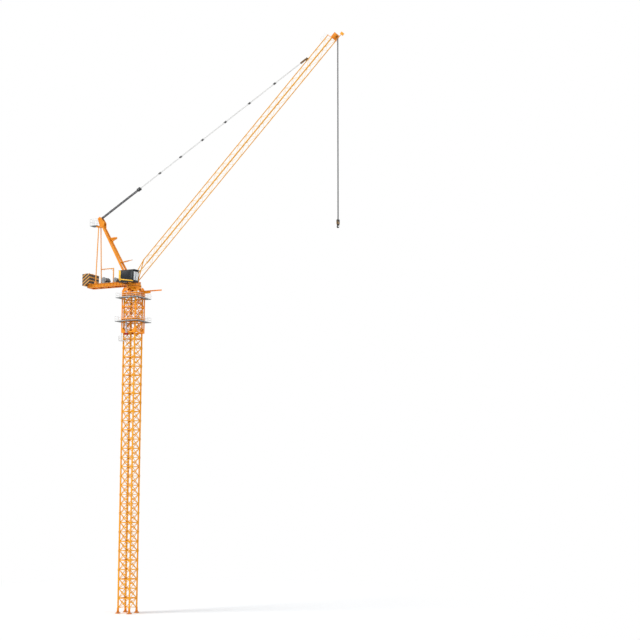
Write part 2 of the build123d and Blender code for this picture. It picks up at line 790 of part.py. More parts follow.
# Service frame: one post with a lifting bar over the winch
with BuildPart() as service_frame:
    post_foot = Vector(service_post_x, service_post_y, deck_top)
    post_head = post_foot + Vector(0, 0, service_post_height)
    square_bar(post_foot, post_head, service_post_width)
    bar_level = Vector(service_post_width / 2, 0, -service_post_width / 2)
    bar_end = post_head + bar_level - Vector(service_bar_reach, 0, 0)
    square_bar(post_head + bar_level, bar_end, service_post_width)
save(service_frame, "service_frame")

# Cab: open frame with a solid rear wall, dark side panels, a windscreen and a roof with a visor
cab_inner = -beam_outer - cab_standoff
cab_middle = Vector(cab_rear + cab_length / 2, cab_inner - cab_width / 2)
cab_floor = deck_top - cab_floor_drop
cab_front = cab_rear + cab_length
opening_height = cab_height - cab_sill - cab_post
opening_level = cab_floor + cab_sill + opening_height / 2
with BuildPart() as cab_body:
    with BuildSketch(Plane.XY.offset(cab_floor)):
        with Locations(cab_middle):
            Rectangle(cab_length, cab_width)
    extrude(amount=cab_height)
    with BuildSketch(Plane.XY.offset(cab_floor + cab_wall)):
        with Locations(cab_middle):
            Rectangle(cab_length - 2 * cab_wall, cab_width - 2 * cab_wall)
    extrude(amount=cab_height - 2 * cab_wall, mode=Mode.SUBTRACT)
    with BuildSketch(Plane.XZ.offset(-cab_middle.Y)):
        with Locations((cab_middle.X, opening_level)):
            Rectangle(cab_length - 2 * cab_post, opening_height)
    extrude(amount=cab_width / 2, both=True, mode=Mode.SUBTRACT)
    with BuildSketch(Plane.YZ.offset(cab_front)):
        with Locations((cab_middle.Y, opening_level)):
            Rectangle(cab_width - 2 * cab_post, opening_height)
    extrude(amount=-cab_wall, mode=Mode.SUBTRACT)
save(cab_body, "cab_body")

with BuildPart() as cab_side_panels:
    for wall_y in (cab_inner, cab_inner - cab_width + cab_glass_thickness):
        with BuildSketch(Plane.XZ.offset(-wall_y)):
            with Locations((cab_middle.X, opening_level)):
                Rectangle(cab_length - 2 * cab_post, opening_height)
        extrude(amount=cab_glass_thickness)
save(cab_side_panels, "cab_side_panels")

with BuildPart() as cab_windscreen:
    with BuildSketch(Plane.YZ.offset(cab_front)):
        with Locations((cab_middle.Y, opening_level)):
            Rectangle(cab_width - 2 * cab_post, opening_height)
    extrude(amount=-cab_glass_thickness)
save(cab_windscreen, "cab_windscreen")

with BuildPart() as cab_roof:
    with BuildSketch(Plane.XY.offset(cab_floor + cab_height)):
        with Locations((cab_middle.X + (cab_visor - cab_eaves) / 2, cab_middle.Y)):
            Rectangle(cab_length + cab_visor + cab_eaves, cab_width + cab_eaves)
    extrude(amount=cab_roof_thickness)
save(cab_roof, "cab_roof")

# Cab bracket: a plate across the beam's flanges and two arms under the cab's floor
bracket_rear = cab_rear + cab_post
bracket_length = deck_nose - bracket_rear
with BuildPart() as cab_bracket:
    with BuildSketch(Plane.XZ.offset(beam_outer)):
        with Locations((bracket_rear + bracket_length / 2, deck_bottom + deck_depth / 2)):
            Rectangle(bracket_length, deck_depth)
    extrude(amount=cab_standoff)
    for arm_x in (bracket_rear + cab_arm_width, deck_nose - cab_arm_width):
        arm_root = Vector(arm_x, -beam_outer, cab_floor - cab_arm_height / 2)
        square_bar(arm_root, arm_root - Vector(0, cab_standoff + cab_width - cab_post, 0), cab_arm_width,
                   cab_arm_height)
save(cab_bracket, "cab_bracket")

# Frame of the jib: along the bottom chords from the foot pin, across, and square to them
jib_plane = Plane(origin=(pivot_x, 0, pivot_z), x_dir=(cos(radians(jib_angle)), 0, sin(radians(jib_angle))),
                  z_dir=(-sin(radians(jib_angle)), 0, cos(radians(jib_angle))))
bay = (chord_end - jib_taper_length) / jib_bays
foot_offset = jib_width / 2


def jib_point(along, across, up):
    return jib_plane.from_local_coords(Vector(along, across, up))


# Foot brackets on the turntable: two plates to a side with the foot pin through them
plate_offset = foot_lug_thickness / 2 + bracket_gap + bracket_plate / 2
half_pin = Vector(0, plate_offset + bracket_plate / 2 + pin_head, 0)
with BuildPart() as jib_foot_brackets:
    for way in (-1, 1):
        for plate_y in (way * foot_offset - plate_offset, way * foot_offset + plate_offset):
            with BuildSketch(Plane.XZ.offset(-plate_y)):
                with Locations((pivot_x, deck_top + pivot_height / 2)):
                    Rectangle(2 * foot_lug_radius, pivot_height)
                with Locations((pivot_x, pivot_z)):
                    Circle(foot_lug_radius)
            extrude(amount=bracket_plate / 2, both=True)
        middle = Vector(pivot_x, way * foot_offset, pivot_z)
        round_bar(middle - half_pin, middle + half_pin, pin_radius)
save(jib_foot_brackets, "jib_foot_brackets")

# Foot of the jib: two bored lugs, a beam between them and two legs up to the top chord
with BuildPart() as jib_foot:
    for way in (-1, 1):
        lug_plane = Plane(origin=jib_point(0, way * foot_offset, 0), x_dir=jib_plane.x_dir, z_dir=(0, -1, 0))
        with BuildSketch(lug_plane):
            with Locations((jib_foot_length / 2, 0)):
                Rectangle(jib_foot_length, foot_beam_height)
            Circle(foot_lug_radius)
            Circle(pin_radius + pin_clearance, mode=Mode.SUBTRACT)
        extrude(amount=foot_lug_thickness / 2, both=True)
        leg_start = jib_point(foot_lug_radius, way * foot_offset, bottom_chord_radius + body_gap + pin_head)
        square_bar(leg_start, jib_point(jib_taper_length - foot_leg_width, 0, jib_depth), foot_leg_width)
    beam_along = jib_foot_length - foot_beam_height / 2
    round_bar(jib_point(beam_along, -foot_offset, 0), jib_point(beam_along, foot_offset, 0),
              foot_beam_height / 2)
    square_bar(jib_point(jib_taper_length - 2 * foot_leg_width, 0, jib_depth),
               jib_point(jib_taper_length, 0, jib_depth), 2 * top_chord_radius)
save(jib_foot, "jib_foot")

# Chords of the jib: round tubes with a thicker collar at each bolted joint
joint_places = range(joint_bays, jib_bays, joint_bays)
with BuildPart() as jib_chords:
    for across, up, radius, start, shift in ((-foot_offset, 0, bottom_chord_radius, jib_foot_length, 0.5),
                                             (foot_offset, 0, bottom_chord_radius, jib_foot_length, 0.5),
                                             (0, jib_depth, top_chord_radius, jib_taper_length, 0)):
        round_bar(jib_point(start, across, up), jib_point(chord_end, across, up), radius)
        for place in joint_places:
            middle = jib_taper_length + (place + shift) * bay
            round_bar(jib_point(middle - joint_length / 2, across, up),
                      jib_point(middle + joint_length / 2, across, up), radius + joint_collar)
save(jib_chords, "jib_chords")

# Lacing of the jib: a zigzag in each sloping side and one between the bottom chords
side_rise = hypot(foot_offset, jib_depth)
lacing_length = chord_end - jib_taper_length
for side, way in (("near", -1), ("far", 1)):
    lacing_foot = jib_point(jib_taper_length, way * foot_offset, 0)
    upward = jib_point(jib_taper_length, 0, jib_depth) - lacing_foot
    with BuildPart() as jib_lacing:
        outward = jib_plane.x_dir.cross(upward)
        with BuildSketch(Plane(origin=lacing_foot, x_dir=jib_plane.x_dir, z_dir=outward)):
            zigzag_lattice(lacing_length, 2 * jib_bays, bottom_chord_radius, side_rise - top_chord_radius,
                           lacing_width)
        extrude(amount=lacing_depth / 2, both=True)
    save(jib_lacing, f"jib_lacing_{side}")

with BuildPart() as jib_lacing_bottom:
    with BuildSketch(Plane(origin=jib_point(jib_taper_length - bay, -foot_offset, 0), x_dir=jib_plane.x_dir,
                           z_dir=jib_plane.z_dir)):
        zigzag_lattice(lacing_length + bay, jib_bays + 1, bottom_chord_radius,
                       jib_width - bottom_chord_radius, lacing_width)
    extrude(amount=lacing_depth / 2, both=True)
save(jib_lacing_bottom, "jib_lacing_bottom")

# Head of the jib: a slotted box across the chord ends, with the axle of the tip sheaves
with BuildPart() as jib_head:
    with BuildSketch(Plane(origin=jib_point(chord_end + tip_box_length / 2, 0, -tip_box_height / 2),
                           x_dir=jib_plane.x_dir, z_dir=jib_plane.z_dir)):
        Rectangle(tip_box_length, jib_width + 2 * bottom_chord_radius)
        with Locations((tip_box_web / 2, 0)):
            Rectangle(tip_box_length - tip_box_web, tip_slot_width, mode=Mode.SUBTRACT)
    extrude(amount=tip_box_height)
    round_bar(jib_point(jib_length, -tip_slot_width / 2, 0), jib_point(jib_length, tip_slot_width / 2, 0),
              tip_axle_radius)
save(jib_head, "jib_head")

tip_axle = jib_point(jib_length, 0, 0)
with BuildPart() as tip_sheaves:
    for way in (-1, 1):
        rim = tip_axle + Vector(0, way * fall_spread / 2, 0)
        half_rim = Vector(0, tip_sheave_width / 2, 0)
        round_bar(rim - half_rim, rim + half_rim, tip_sheave_radius)
        round_bar(rim - half_rim, rim + half_rim, tip_axle_radius + shaft_clearance, mode=Mode.SUBTRACT)
save(tip_sheaves, "tip_sheaves")

# Warning lamp on an arm beside the jib head
lamp_rear = chord_end + tip_box_length + tip_arm_length
lamp_across = foot_offset + lamp_width / 4
with BuildPart() as tip_lamp:
    square_bar(jib_point(chord_end + tip_box_length, foot_offset, 0), jib_point(lamp_rear, foot_offset, 0),
               tip_arm_width)
    square_bar(jib_point(lamp_rear, lamp_across, 0), jib_point(lamp_rear + lamp_length, lamp_across, 0),
               lamp_width, lamp_height)
save(tip_lamp, "tip_lamp")

# Rope guide swinging on the tip axle, and the two falls of the hoist rope below it
rope_x = tip_axle.X + tip_sheave_radius
rope_top = tip_axle.Z - rope_top_drop
guide_hub = Vector(0, (fall_spread - tip_sheave_width) / 2 - bracket_gap, 0)
guide_middle = Vector(rope_x, 0, rope_top + guide_height / 2)
with BuildPart() as rope_guide:
    round_bar(tip_axle - guide_hub, tip_axle + guide_hub, tip_axle_radius + guide_wall)
    square_bar(tip_axle, guide_middle, guide_hub.Y)
    with BuildSketch(Plane.XY.offset(rope_top)):
        with Locations((rope_x, 0)):
            Rectangle(guide_width, fall_spread + 2 * guide_wall)
    extrude(amount=guide_height)
    round_bar(tip_axle - guide_hub, tip_axle + guide_hub, tip_axle_radius + pin_clearance, mode=Mode.SUBTRACT)
save(rope_guide, "rope_guide")

with BuildPart() as hoist_rope:
    for way in (-1, 1):
        fall_y = way * fall_spread / 2
        round_bar((rope_x, fall_y, hook_block_top + body_gap), (rope_x, fall_y, rope_top), rope_radius)
save(hoist_rope, "hoist_rope")

# Hook block: two rounded cheeks, spacers above and below, and the sheave between them
block_middle = Vector(rope_x, 0, hook_block_top - hook_block_height / 2)
block_bottom = hook_block_top - hook_block_height
with BuildPart() as hook_block:
    for way in (-1, 1):
        with BuildSketch(Plane.YZ.offset(rope_x + way * (hook_cheek_gap + hook_cheek) / 2)):
            with Locations((0, block_middle.Z)):
                RectangleRounded(hook_block_width, hook_block_height, hook_corner)
        extrude(amount=hook_cheek / 2, both=True)
    with BuildSketch(Plane.YZ.offset(rope_x)):
        with Locations((0, hook_block_top - hook_spacer / 2)):
            Rectangle(hook_block_width - 2 * hook_corner, hook_spacer)
        with Locations((0, block_bottom + hook_foot / 2)):
            Rectangle(hook_block_width - 2 * hook_corner, hook_foot)
    extrude(amount=hook_cheek_gap / 2, both=True)
    half_gap = Vector(hook_cheek_gap / 2, 0, 0)
    round_bar(block_middle - half_gap, block_middle + half_gap, hook_pin_radius)
    round_bar(block_middle - half_gap / 2, block_middle + half_gap / 2, hook_sheave_radius)
    round_bar((rope_x, 0, block_bottom), (rope_x, 0, block_bottom + hook_foot),
              hook_shank_radius + swivel_clearance, mode=Mode.SUBTRACT)
save(hook_block, "hook_block")

# Hook: shank in the block, collar below it and a round bowl with an open throat
collar_top = Vector(rope_x, 0, block_bottom - body_gap)
collar_low = collar_top - Vector(0, 0, hook_collar_height)
bowl_middle = collar_low - Vector(0, 0, hook_bowl_radius)
with BuildPart() as hook:
    round_bar(collar_top, (rope_x, 0, block_bottom + hook_foot), hook_shank_radius)
    round_bar(collar_low, collar_top, hook_collar_radius)
    with BuildLine(Plane(origin=bowl_middle, x_dir=(1, 0, 0), z_dir=(0, -1, 0))) as bowl:
        CenterArc((0, 0), hook_bowl_radius, 90, hook_sweep)
    with BuildSketch(Plane(origin=bowl.line @ 0, z_dir=bowl.line % 0)):
        Circle(hook_stock_radius)
    sweep(path=bowl.line)
save(hook, "hook")

# Frame of the luffing gear: along the taut line from the A-frame sheaves to the jib's anchor
anchor = jib_point(anchor_along, 0, jib_depth + top_chord_radius + anchor_up)
luff_run = (anchor - sheave_centre).length
luff_way = (anchor - sheave_centre).normalized()
luff_plane = Plane(origin=sheave_centre, x_dir=luff_way, z_dir=luff_way.cross(Vector(0, 1, 0)))


def luff_point(distance, across, up=0):
    return luff_plane.from_local_coords(Vector(distance, across, up))


# Falls of the luffing rope from the head sheaves to the block, over and under the sheaves
with BuildPart() as luffing_rope:
    for fall in range(luff_falls):
        fall_y = (fall - (luff_falls - 1) / 2) * luff_fall_pitch
        for row in (-luff_row_pitch / 2, luff_row_pitch / 2):
            fall_end = luff_point(block_distance - body_gap, fall_y, row)
            round_bar(luff_point(head_sheave_radius, fall_y, row), fall_end, luff_rope_radius)
save(luffing_rope, "luffing_rope")

# Luffing block: a frame round its sheaves, at the end of the pendants
with BuildPart() as luffing_block:
    with BuildSketch(Plane(origin=luff_point(block_distance + block_length / 2, 0), x_dir=luff_way,
                           z_dir=luff_plane.z_dir)):
        Rectangle(block_length, block_width)
        Rectangle(block_length - 2 * block_cheek, block_width - 2 * block_cheek, mode=Mode.SUBTRACT)
    extrude(amount=block_depth / 2, both=True)
    block_axle = luff_point(block_distance + block_length / 2, 0)
    half_axle = Vector(0, block_width / 2 - block_cheek, 0)
    round_bar(block_axle - half_axle, block_axle + half_axle, drum_shaft_radius)
    round_bar(block_axle - half_axle / 2, block_axle + half_axle / 2, block_sheave_radius)
save(luffing_block, "luffing_block")

# Pendants: pairs of rods joined by links, each pair a little longer than the one before, up to the anchor
pendant_start = block_distance + block_length
pendant_end = luff_run + anchor_link_lead - anchor_link_length
pendant_share = (pendant_end - pendant_start + pendant_link_length) / (pendant_growth**pendant_count - 1)
rod_starts = [pendant_start + pendant_share * (pendant_growth**rod - 1) for rod in range(pendant_count + 1)]
with BuildPart() as pendants:
    for start, end in zip(rod_starts, rod_starts[1:]):
        for across in (-pendant_spread / 2, pendant_spread / 2):
            rod_stop = luff_point(end - pendant_link_length, across)
            round_bar(luff_point(start, across), rod_stop, pendant_radius)
save(pendants, "pendants")

with BuildPart() as pendant_links:
    for link_end in rod_starts[1:-1]:
        square_bar(luff_point(link_end - pendant_link_length, 0), luff_point(link_end, 0), pendant_link_width,
                   pendant_link_depth)
save(pendant_links, "pendant_links")

with BuildPart() as pendant_anchor:
    square_bar(luff_point(pendant_end, 0), luff_point(pendant_end + anchor_link_length, 0),
               pendant_link_width, anchor_link_depth)
    lug_foot = jib_point(anchor_along, 0, jib_depth)
    lug_top = top_chord_radius + anchor_up
    with BuildSketch(Plane(origin=lug_foot, x_dir=jib_plane.x_dir, z_dir=(0, -1, 0))):
        with BuildLine():
            Polyline((-anchor_length / 2, 0), (anchor_length / 2, 0), (anchor_length / 4, lug_top),
                     (-anchor_length / 4, lug_top), close=True)
        make_face()
    extrude(amount=anchor_thickness / 2, both=True)
    half_saddle = jib_plane.x_dir * anchor_length
    round_bar(lug_foot - half_saddle, lug_foot + half_saddle, top_chord_radius, mode=Mode.SUBTRACT)
save(pendant_anchor, "pendant_anchor")
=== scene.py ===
from math import cos, pi, radians, sin, sqrt

import bmesh
import bpy
from mathutils import Matrix, Vector


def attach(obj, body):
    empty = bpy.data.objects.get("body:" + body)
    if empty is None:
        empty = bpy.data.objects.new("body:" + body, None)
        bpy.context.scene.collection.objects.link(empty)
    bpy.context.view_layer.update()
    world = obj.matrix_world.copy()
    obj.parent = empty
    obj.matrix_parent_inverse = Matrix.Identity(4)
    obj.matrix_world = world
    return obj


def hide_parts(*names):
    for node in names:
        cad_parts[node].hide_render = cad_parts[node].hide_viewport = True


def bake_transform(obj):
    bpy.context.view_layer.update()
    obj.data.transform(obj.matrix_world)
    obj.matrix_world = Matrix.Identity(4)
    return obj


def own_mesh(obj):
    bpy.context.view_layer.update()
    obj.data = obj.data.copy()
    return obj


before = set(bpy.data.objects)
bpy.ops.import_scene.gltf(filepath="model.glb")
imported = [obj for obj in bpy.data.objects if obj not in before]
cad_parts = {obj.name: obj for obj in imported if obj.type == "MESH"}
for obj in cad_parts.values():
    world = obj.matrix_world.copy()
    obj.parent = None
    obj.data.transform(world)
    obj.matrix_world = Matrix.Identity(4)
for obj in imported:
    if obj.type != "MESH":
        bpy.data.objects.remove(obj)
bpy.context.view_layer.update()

# Feet of the mast: four welded steel shoes, painted with the crane and standing flat on the base.
# Each is held by four galvanised anchor bolts with a washer and a nut.
leg_line = 0.107
anchor_spacing = 0.046
foot_plate_top = 0.008
washer, nut, thread = (0.0, 0.0018, 0.0068, 16), (0.0018, 0.0068, 0.0056, 6), (0.0068, 0.014, 0.0032, 10)
orange, orange_sunned = (0.74, 0.23, 0.006, 1.0), (0.83, 0.305, 0.017, 1.0)
galvanised_light, galvanised_dark = (0.42, 0.43, 0.44, 1.0), (0.24, 0.25, 0.26, 1.0)
corners = [(x, y) for x in (-1, 1) for y in (-1, 1)]
upright = Vector((0, 0, 1))


def add(tree, kind, inputs, **settings):
    """One shader node with its settings and its inputs, which are values or other nodes' outputs."""
    node = tree.nodes.new(kind)
    for name, value in settings.items():
        setattr(node, name, value)
    for socket, value in inputs.items():
        if isinstance(value, bpy.types.NodeSocket):
            tree.links.new(value, node.inputs[socket])
        else:
            node.inputs[socket].default_value = value
    return node


def mixed(tree, share, first, second):
    """Colour between two colours."""
    node = add(tree, "ShaderNodeMix", {0: share, 6: first, 7: second}, data_type="RGBA")
    return node.outputs[2]


def spread(tree, value, low, high):
    """A noise value stretched over a range."""
    limits = {"From Min": 0.3, "From Max": 0.7, "To Min": low, "To Max": high}
    return add(tree, "ShaderNodeMapRange", {"Value": value, **limits}).outputs["Result"]


def noise(tree, place, scale, detail):
    """Cloudy pattern on a surface."""
    return add(tree, "ShaderNodeTexNoise", {"Vector": place, "Scale": scale, "Detail": detail}).outputs["Fac"]


def clouded(tree, pattern, first, second):
    """Colour that goes from one to another in patches."""
    return mixed(tree, spread(tree, pattern, 0.0, 1.0), first, second)


def blank(name, roughness, metal=0.0):
    """An empty material: its node tree, its shader and the Object coordinates."""
    material = bpy.data.materials.new(name)
    material.use_nodes = True
    tree = material.node_tree
    shader = tree.nodes["Principled BSDF"]
    shader.inputs["Roughness"].default_value = roughness
    shader.inputs["Metallic"].default_value = metal
    return material, tree, shader, tree.nodes.new("ShaderNodeTexCoord").outputs["Object"]


def bumped(tree, shader, pattern, strength, depth, sunken=False):
    """Relief of a surface after a pattern."""
    relief = {"Height": pattern, "Strength": strength, "Distance": depth}
    bump = add(tree, "ShaderNodeBump", relief, invert=sunken)
    tree.links.new(bump.outputs["Normal"], shader.inputs["Normal"])


def roughen(tree, shader, place, scale, depth, strength=0.25):
    """Fine unevenness of a surface."""
    bumped(tree, shader, noise(tree, place, scale, 3.0), strength, depth)


def painted_steel(name, colour, sunned, dust=0.22, roughness=0.4):
    """Sprayed paint on steel: it fades in patches, dust runs down it in streaks, and it has a slight peel."""
    material, tree, shader, place = blank(name, roughness)
    shader.inputs["Specular IOR Level"].default_value = 0.2
    faded = clouded(tree, noise(tree, place, 7.0, 5.0), colour, sunned)
    down = add(tree, "ShaderNodeMapping", {"Vector": place, "Scale": (70.0, 70.0, 6.0)})
    streaks = noise(tree, down.outputs["Vector"], 1.0, 4.0)
    dusty = tuple(channel * 0.55 for channel in colour[:3]) + (1.0,)
    streaked = mixed(tree, spread(tree, streaks, 0.0, dust), faded, dusty)
    tree.links.new(streaked, shader.inputs["Base Color"])
    tree.links.new(spread(tree, streaks, roughness - 0.06, roughness + 0.14), shader.inputs["Roughness"])
    roughen(tree, shader, place, 420.0, 0.0006, 0.12)
    return material


def bare_steel(name, light, dark, roughness, metal=0.85):
    """Uncoated steel: drawn or machined, with darker handled patches."""
    material, tree, shader, place = blank(name, roughness, metal)
    patches = noise(tree, place, 45.0, 5.0)
    tree.links.new(clouded(tree, patches, light, dark), shader.inputs["Base Color"])
    tree.links.new(spread(tree, patches, roughness - 0.08, roughness + 0.12), shader.inputs["Roughness"])
    roughen(tree, shader, place, 600.0, 0.0004, 0.2)
    return material


def dress(material, *names):
    """Gives CAD nodes their finish."""
    for name in names:
        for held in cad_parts[name].material_slots:
            held.material = material


def bar(bm, start, end, radius, sides=8):
    """Round or many-sided bar between two points."""
    start, end = Vector(start), Vector(end)
    turn = (end - start).to_track_quat("Z", "Y").to_matrix().to_4x4()
    bmesh.ops.create_cone(bm, cap_ends=True, segments=sides, radius1=radius, radius2=radius,
                          depth=(end - start).length, matrix=Matrix.Translation((start + end) / 2) @ turn)


def block(bm, middle, size, turn=None, edge=0.0):
    """Rectangular block, turned about its middle, with its edges eased if asked."""
    matrix = Matrix.Translation(middle) @ (turn or Matrix()) @ Matrix.Diagonal((*size, 1.0))
    points = bmesh.ops.create_cube(bm, size=1.0, matrix=matrix)["verts"]
    if edge:
        edges = list(dict.fromkeys(line for point in points for line in point.link_edges))
        bmesh.ops.bevel(bm, geom=edges, offset=edge, affect="EDGES", segments=2, profile=0.5, material=-1)


def piece(bm, name, material, body):
    """Turns a finished bmesh into a piece that rides on a body of the crane."""
    bmesh.ops.recalc_face_normals(bm, faces=bm.faces)
    mesh = bpy.data.meshes.new(name)
    bm.to_mesh(mesh)
    bm.free()
    mesh.shade_smooth()
    mesh.set_sharp_from_angle(angle=radians(35))
    mesh.materials.append(material)
    made = bpy.data.objects.new(name, mesh)
    bpy.context.collection.objects.link(made)
    if body:
        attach(made, body)
    return made


orange_paint = painted_steel("crane orange paint", orange, orange_sunned)
galvanised = bare_steel("galvanised bolts", galvanised_light, galvanised_dark, 0.45)
dress(orange_paint, "mast_feet")
bm = bmesh.new()
for foot_x, foot_y in corners:
    for hole_x, hole_y in corners:
        at = Vector((foot_x * leg_line + hole_x * anchor_spacing / 2,
                     foot_y * leg_line + hole_y * anchor_spacing / 2, foot_plate_top))
        for low, high, radius, sides in (washer, nut, thread):
            bar(bm, at + upright * low, at + upright * high, radius, sides)
piece(bm, "anchor_bolts", galvanised, "mast")

# Legs of the mast: square steel tubes in lengths of one section, welded at the shop.
# At each section joint a sleeve with through bolts ties the upper length to the lower one.
first_joint, section_height, joint_count = 0.69, 0.3, 15
sleeve, sleeve_height, sleeve_edge = 0.0265, 0.036, 0.0016
bolt_rises = (-0.01, 0.01)
bolt_head, bolt_radius = 0.0022, 0.0036
leg_paint = painted_steel("mast orange paint", (0.81, 0.315, 0.008, 1.0), (0.88, 0.395, 0.022, 1.0))
dress(leg_paint, "mast_legs")
bm = bmesh.new()
bolts = bmesh.new()
for joint in range(joint_count):
    for leg_x, leg_y in corners:
        middle = Vector((leg_x * leg_line, leg_y * leg_line, first_joint + joint * section_height))
        block(bm, middle, (sleeve, sleeve, sleeve_height), edge=sleeve_edge)
        for outward in (Vector((leg_x, 0, 0)), Vector((0, leg_y, 0))):
            for rise in bolt_rises:
                at = middle + outward * sleeve / 2 + upright * rise
                bar(bolts, at, at + outward * bolt_head, bolt_radius, 6)
piece(bm, "leg_joint_sleeves", leg_paint, "mast")
piece(bolts, "leg_joint_bolts", galvanised, "mast")

# Sides of the mast: angle bracing welded as crossed panels between light girts.
# A gusset covers each crossing, and a heavier girt stiffens the middle of every section.
panel_height, panel_count = 0.15, 34
mast_bottom = 0.09
gusset_size = (0.0104, 0.022, 0.022)
girt_size = (0.0116, 0.194, 0.0145)
girt_levels = [mast_bottom + panel_height + section * section_height for section in range(joint_count + 2)]
lattice_paint = painted_steel("lattice orange paint", (0.83, 0.365, 0.012, 1.0), (0.89, 0.44, 0.03, 1.0),
                              dust=0.18)
dress(lattice_paint, "mast_side_jib", "mast_side_far", "mast_side_tail", "mast_side_near")
quarter_turns = [Matrix.Rotation(quarter * pi / 2, 4, "Z") for quarter in range(4)]
bm = bmesh.new()
girts = bmesh.new()
for quarter in quarter_turns:
    for panel in range(panel_count):
        at = quarter @ Vector((leg_line, 0, mast_bottom + (panel + 0.5) * panel_height))
        block(bm, at, gusset_size, quarter @ Matrix.Rotation(pi / 4, 4, "X"))
    for level in girt_levels:
        block(girts, quarter @ Vector((leg_line, 0, level)), girt_size, quarter, edge=0.001)
piece(bm, "brace_gussets", lattice_paint, "mast")
piece(girts, "section_girts", leg_paint, "mast")

# Ladder inside the mast: tube stringers and rungs, whose dark paint is painted shade of the mast's back corner.
# It stands in the back corner, on standoffs from the bracing of the tail side.
ladder_x = -0.088
ladder_sides = (0.046, 0.086)
ladder_low, ladder_high = 0.11, 5.17
rung_pitch = 0.03
stringer_radius, standoff_radius, rung_radius = 0.0024, 0.0018, 0.0016
# Dark red-brown colour: painted shade, which darkens the back corner of the mast.
ladder_shade_paint = painted_steel("ladder painted shade orange paint", (0.30, 0.075, 0.007, 1.0), (0.38, 0.12, 0.014, 1.0),
                             dust=0.35)
bm = bmesh.new()
for side in ladder_sides:
    bar(bm, (ladder_x, side, ladder_low), (ladder_x, side, ladder_high), stringer_radius, 8)
    for level in girt_levels:
        bar(bm, (ladder_x, side, level), (-leg_line, side, level), standoff_radius, 6)
for rung in range(int((ladder_high - ladder_low) / rung_pitch)):
    level = ladder_low + (rung + 0.5) * rung_pitch
    bar(bm, (ladder_x, ladder_sides[0], level), (ladder_x, ladder_sides[1], level), rung_radius, 6)
piece(bm, "mast_ladder", ladder_shade_paint, "mast")

# Climbing cage: a square steel frame that wraps the top sections and jacks the crane upwards.
# Box rings and corner plates stiffen it, and plastic shoes keep it off the mast legs.
cage_line, cage_post = 0.139, 0.026
cage_ring_sizes = ((4.5465, 0.023, 0.009), (4.772, 0.03, 0.016), (5.166, 0.016, 0.009))
plate_x, plate_y, plate_foot = 0.1365, 0.123, 4.552
plate_width, plate_height, plate_thick = 0.056, 0.085, 0.004
shoe_levels = (4.56, 5.15)
shoe_line, shoe_thick, shoe_wide, shoe_tall = 0.12, 0.0055, 0.016, 0.03
crosswise = Vector((0, 1, 0))
cage_paint = painted_steel("cage orange paint", (0.88, 0.27, 0.008, 1.0), (0.93, 0.345, 0.02, 1.0), dust=0.15)
dress(cage_paint, "cage_posts", "cage_side_jib", "cage_side_far", "cage_side_tail", "cage_side_near")
bm = bmesh.new()
for level, tall, thick in cage_ring_sizes:
    for quarter in quarter_turns:
        ring_side = (thick, 2 * cage_line + thick - cage_post, tall)
        block(bm, quarter @ Vector((cage_line, 0, level)), ring_side, quarter, edge=0.0012)
piece(bm, "cage_rings", cage_paint, "mast")


def corner_web(bm, first, second, third, thickness):
    """Flat three-cornered plate."""
    middle = (first + second + third) / 3
    upward, sideways = first - middle, (second - third) / sqrt(3)
    outward = sideways.cross(upward).normalized() * thickness
    matrix = Matrix((sideways, upward, outward)).transposed().to_4x4()
    matrix.translation = middle
    bmesh.ops.create_cone(bm, cap_ends=True, segments=3, radius1=1.0, radius2=1.0, depth=1.0, matrix=matrix)


bm = bmesh.new()
for quarter in quarter_turns:
    for side in (-1, 1):
        corner = Vector((plate_x, side * plate_y, plate_foot))
        inner, top = corner - crosswise * side * plate_width, corner + upright * plate_height
        corner_web(bm, quarter @ top, quarter @ inner, quarter @ corner, plate_thick)
piece(bm, "cage_corner_plates", cage_paint, "mast")
black_plastic, tree, shader, place = blank("slide shoe plastic", 0.5)
moulded = clouded(tree, noise(tree, place, 90.0, 4.0), (0.03, 0.03, 0.033, 1.0), (0.07, 0.07, 0.07, 1.0))
tree.links.new(moulded, shader.inputs["Base Color"])
roughen(tree, shader, place, 300.0, 0.0005)
bm = bmesh.new()
for level in shoe_levels:
    for leg_x, leg_y in corners:
        at = (leg_x * shoe_line, leg_y * leg_line, level)
        block(bm, at, (shoe_thick, shoe_wide, shoe_tall), edge=0.001)
        at = (leg_x * leg_line, leg_y * shoe_line, level)
        block(bm, at, (shoe_wide, shoe_thick, shoe_tall), edge=0.001)
piece(bm, "cage_slide_shoes", black_plastic, "mast")

# Work platforms: steel grating on the cage, two all round and a small pale one hung below.
# A toe board runs along every open edge, and welded tube rails stand on it.
upper_floor, lower_floor = (0.213, 5.12), (0.218, 4.727)
hanging_floor, hanging_side = 4.401, 0.048
hanging_rear, hanging_front, hanging_edge = -0.151, -0.005, -0.191
rail_height, rail_inset = 0.078, 0.003
rail_radius, rail_post_radius = 0.0018, 0.0016
board_thick, board_tall, board_rise, board_gap = 0.0016, 0.0078, 0.0022, 0.004
pale_below = hanging_floor + 0.14


def reckon(tree, operation, *values):
    """Outcome of a sum with one or two shader values."""
    return add(tree, "ShaderNodeMath", dict(enumerate(values)), operation=operation).outputs["Value"]


grating, tree, shader, place = blank("walkway grating", 0.6, 0.3)
lines = []
for turn in (0.0, pi / 2):
    laid = add(tree, "ShaderNodeMapping", {"Vector": place, "Rotation": (0.0, 0.0, turn)}).outputs["Vector"]
    lines.append(add(tree, "ShaderNodeTexWave", {"Vector": laid, "Scale": 40.0}).outputs["Fac"])
mesh_holes = reckon(tree, "MULTIPLY", *lines)
walked = mixed(tree, mesh_holes, (0.14, 0.15, 0.15, 1.0), (0.06, 0.064, 0.064, 1.0))
pale = mixed(tree, mesh_holes, (0.52, 0.53, 0.52, 1.0), (0.38, 0.39, 0.39, 1.0))
level = add(tree, "ShaderNodeSeparateXYZ", {0: place}).outputs["Z"]
hung = reckon(tree, "LESS_THAN", level, pale_below)
tree.links.new(mixed(tree, hung, walked, pale), shader.inputs["Base Color"])
bumped(tree, shader, mesh_holes, 0.6, 0.001, sunken=True)
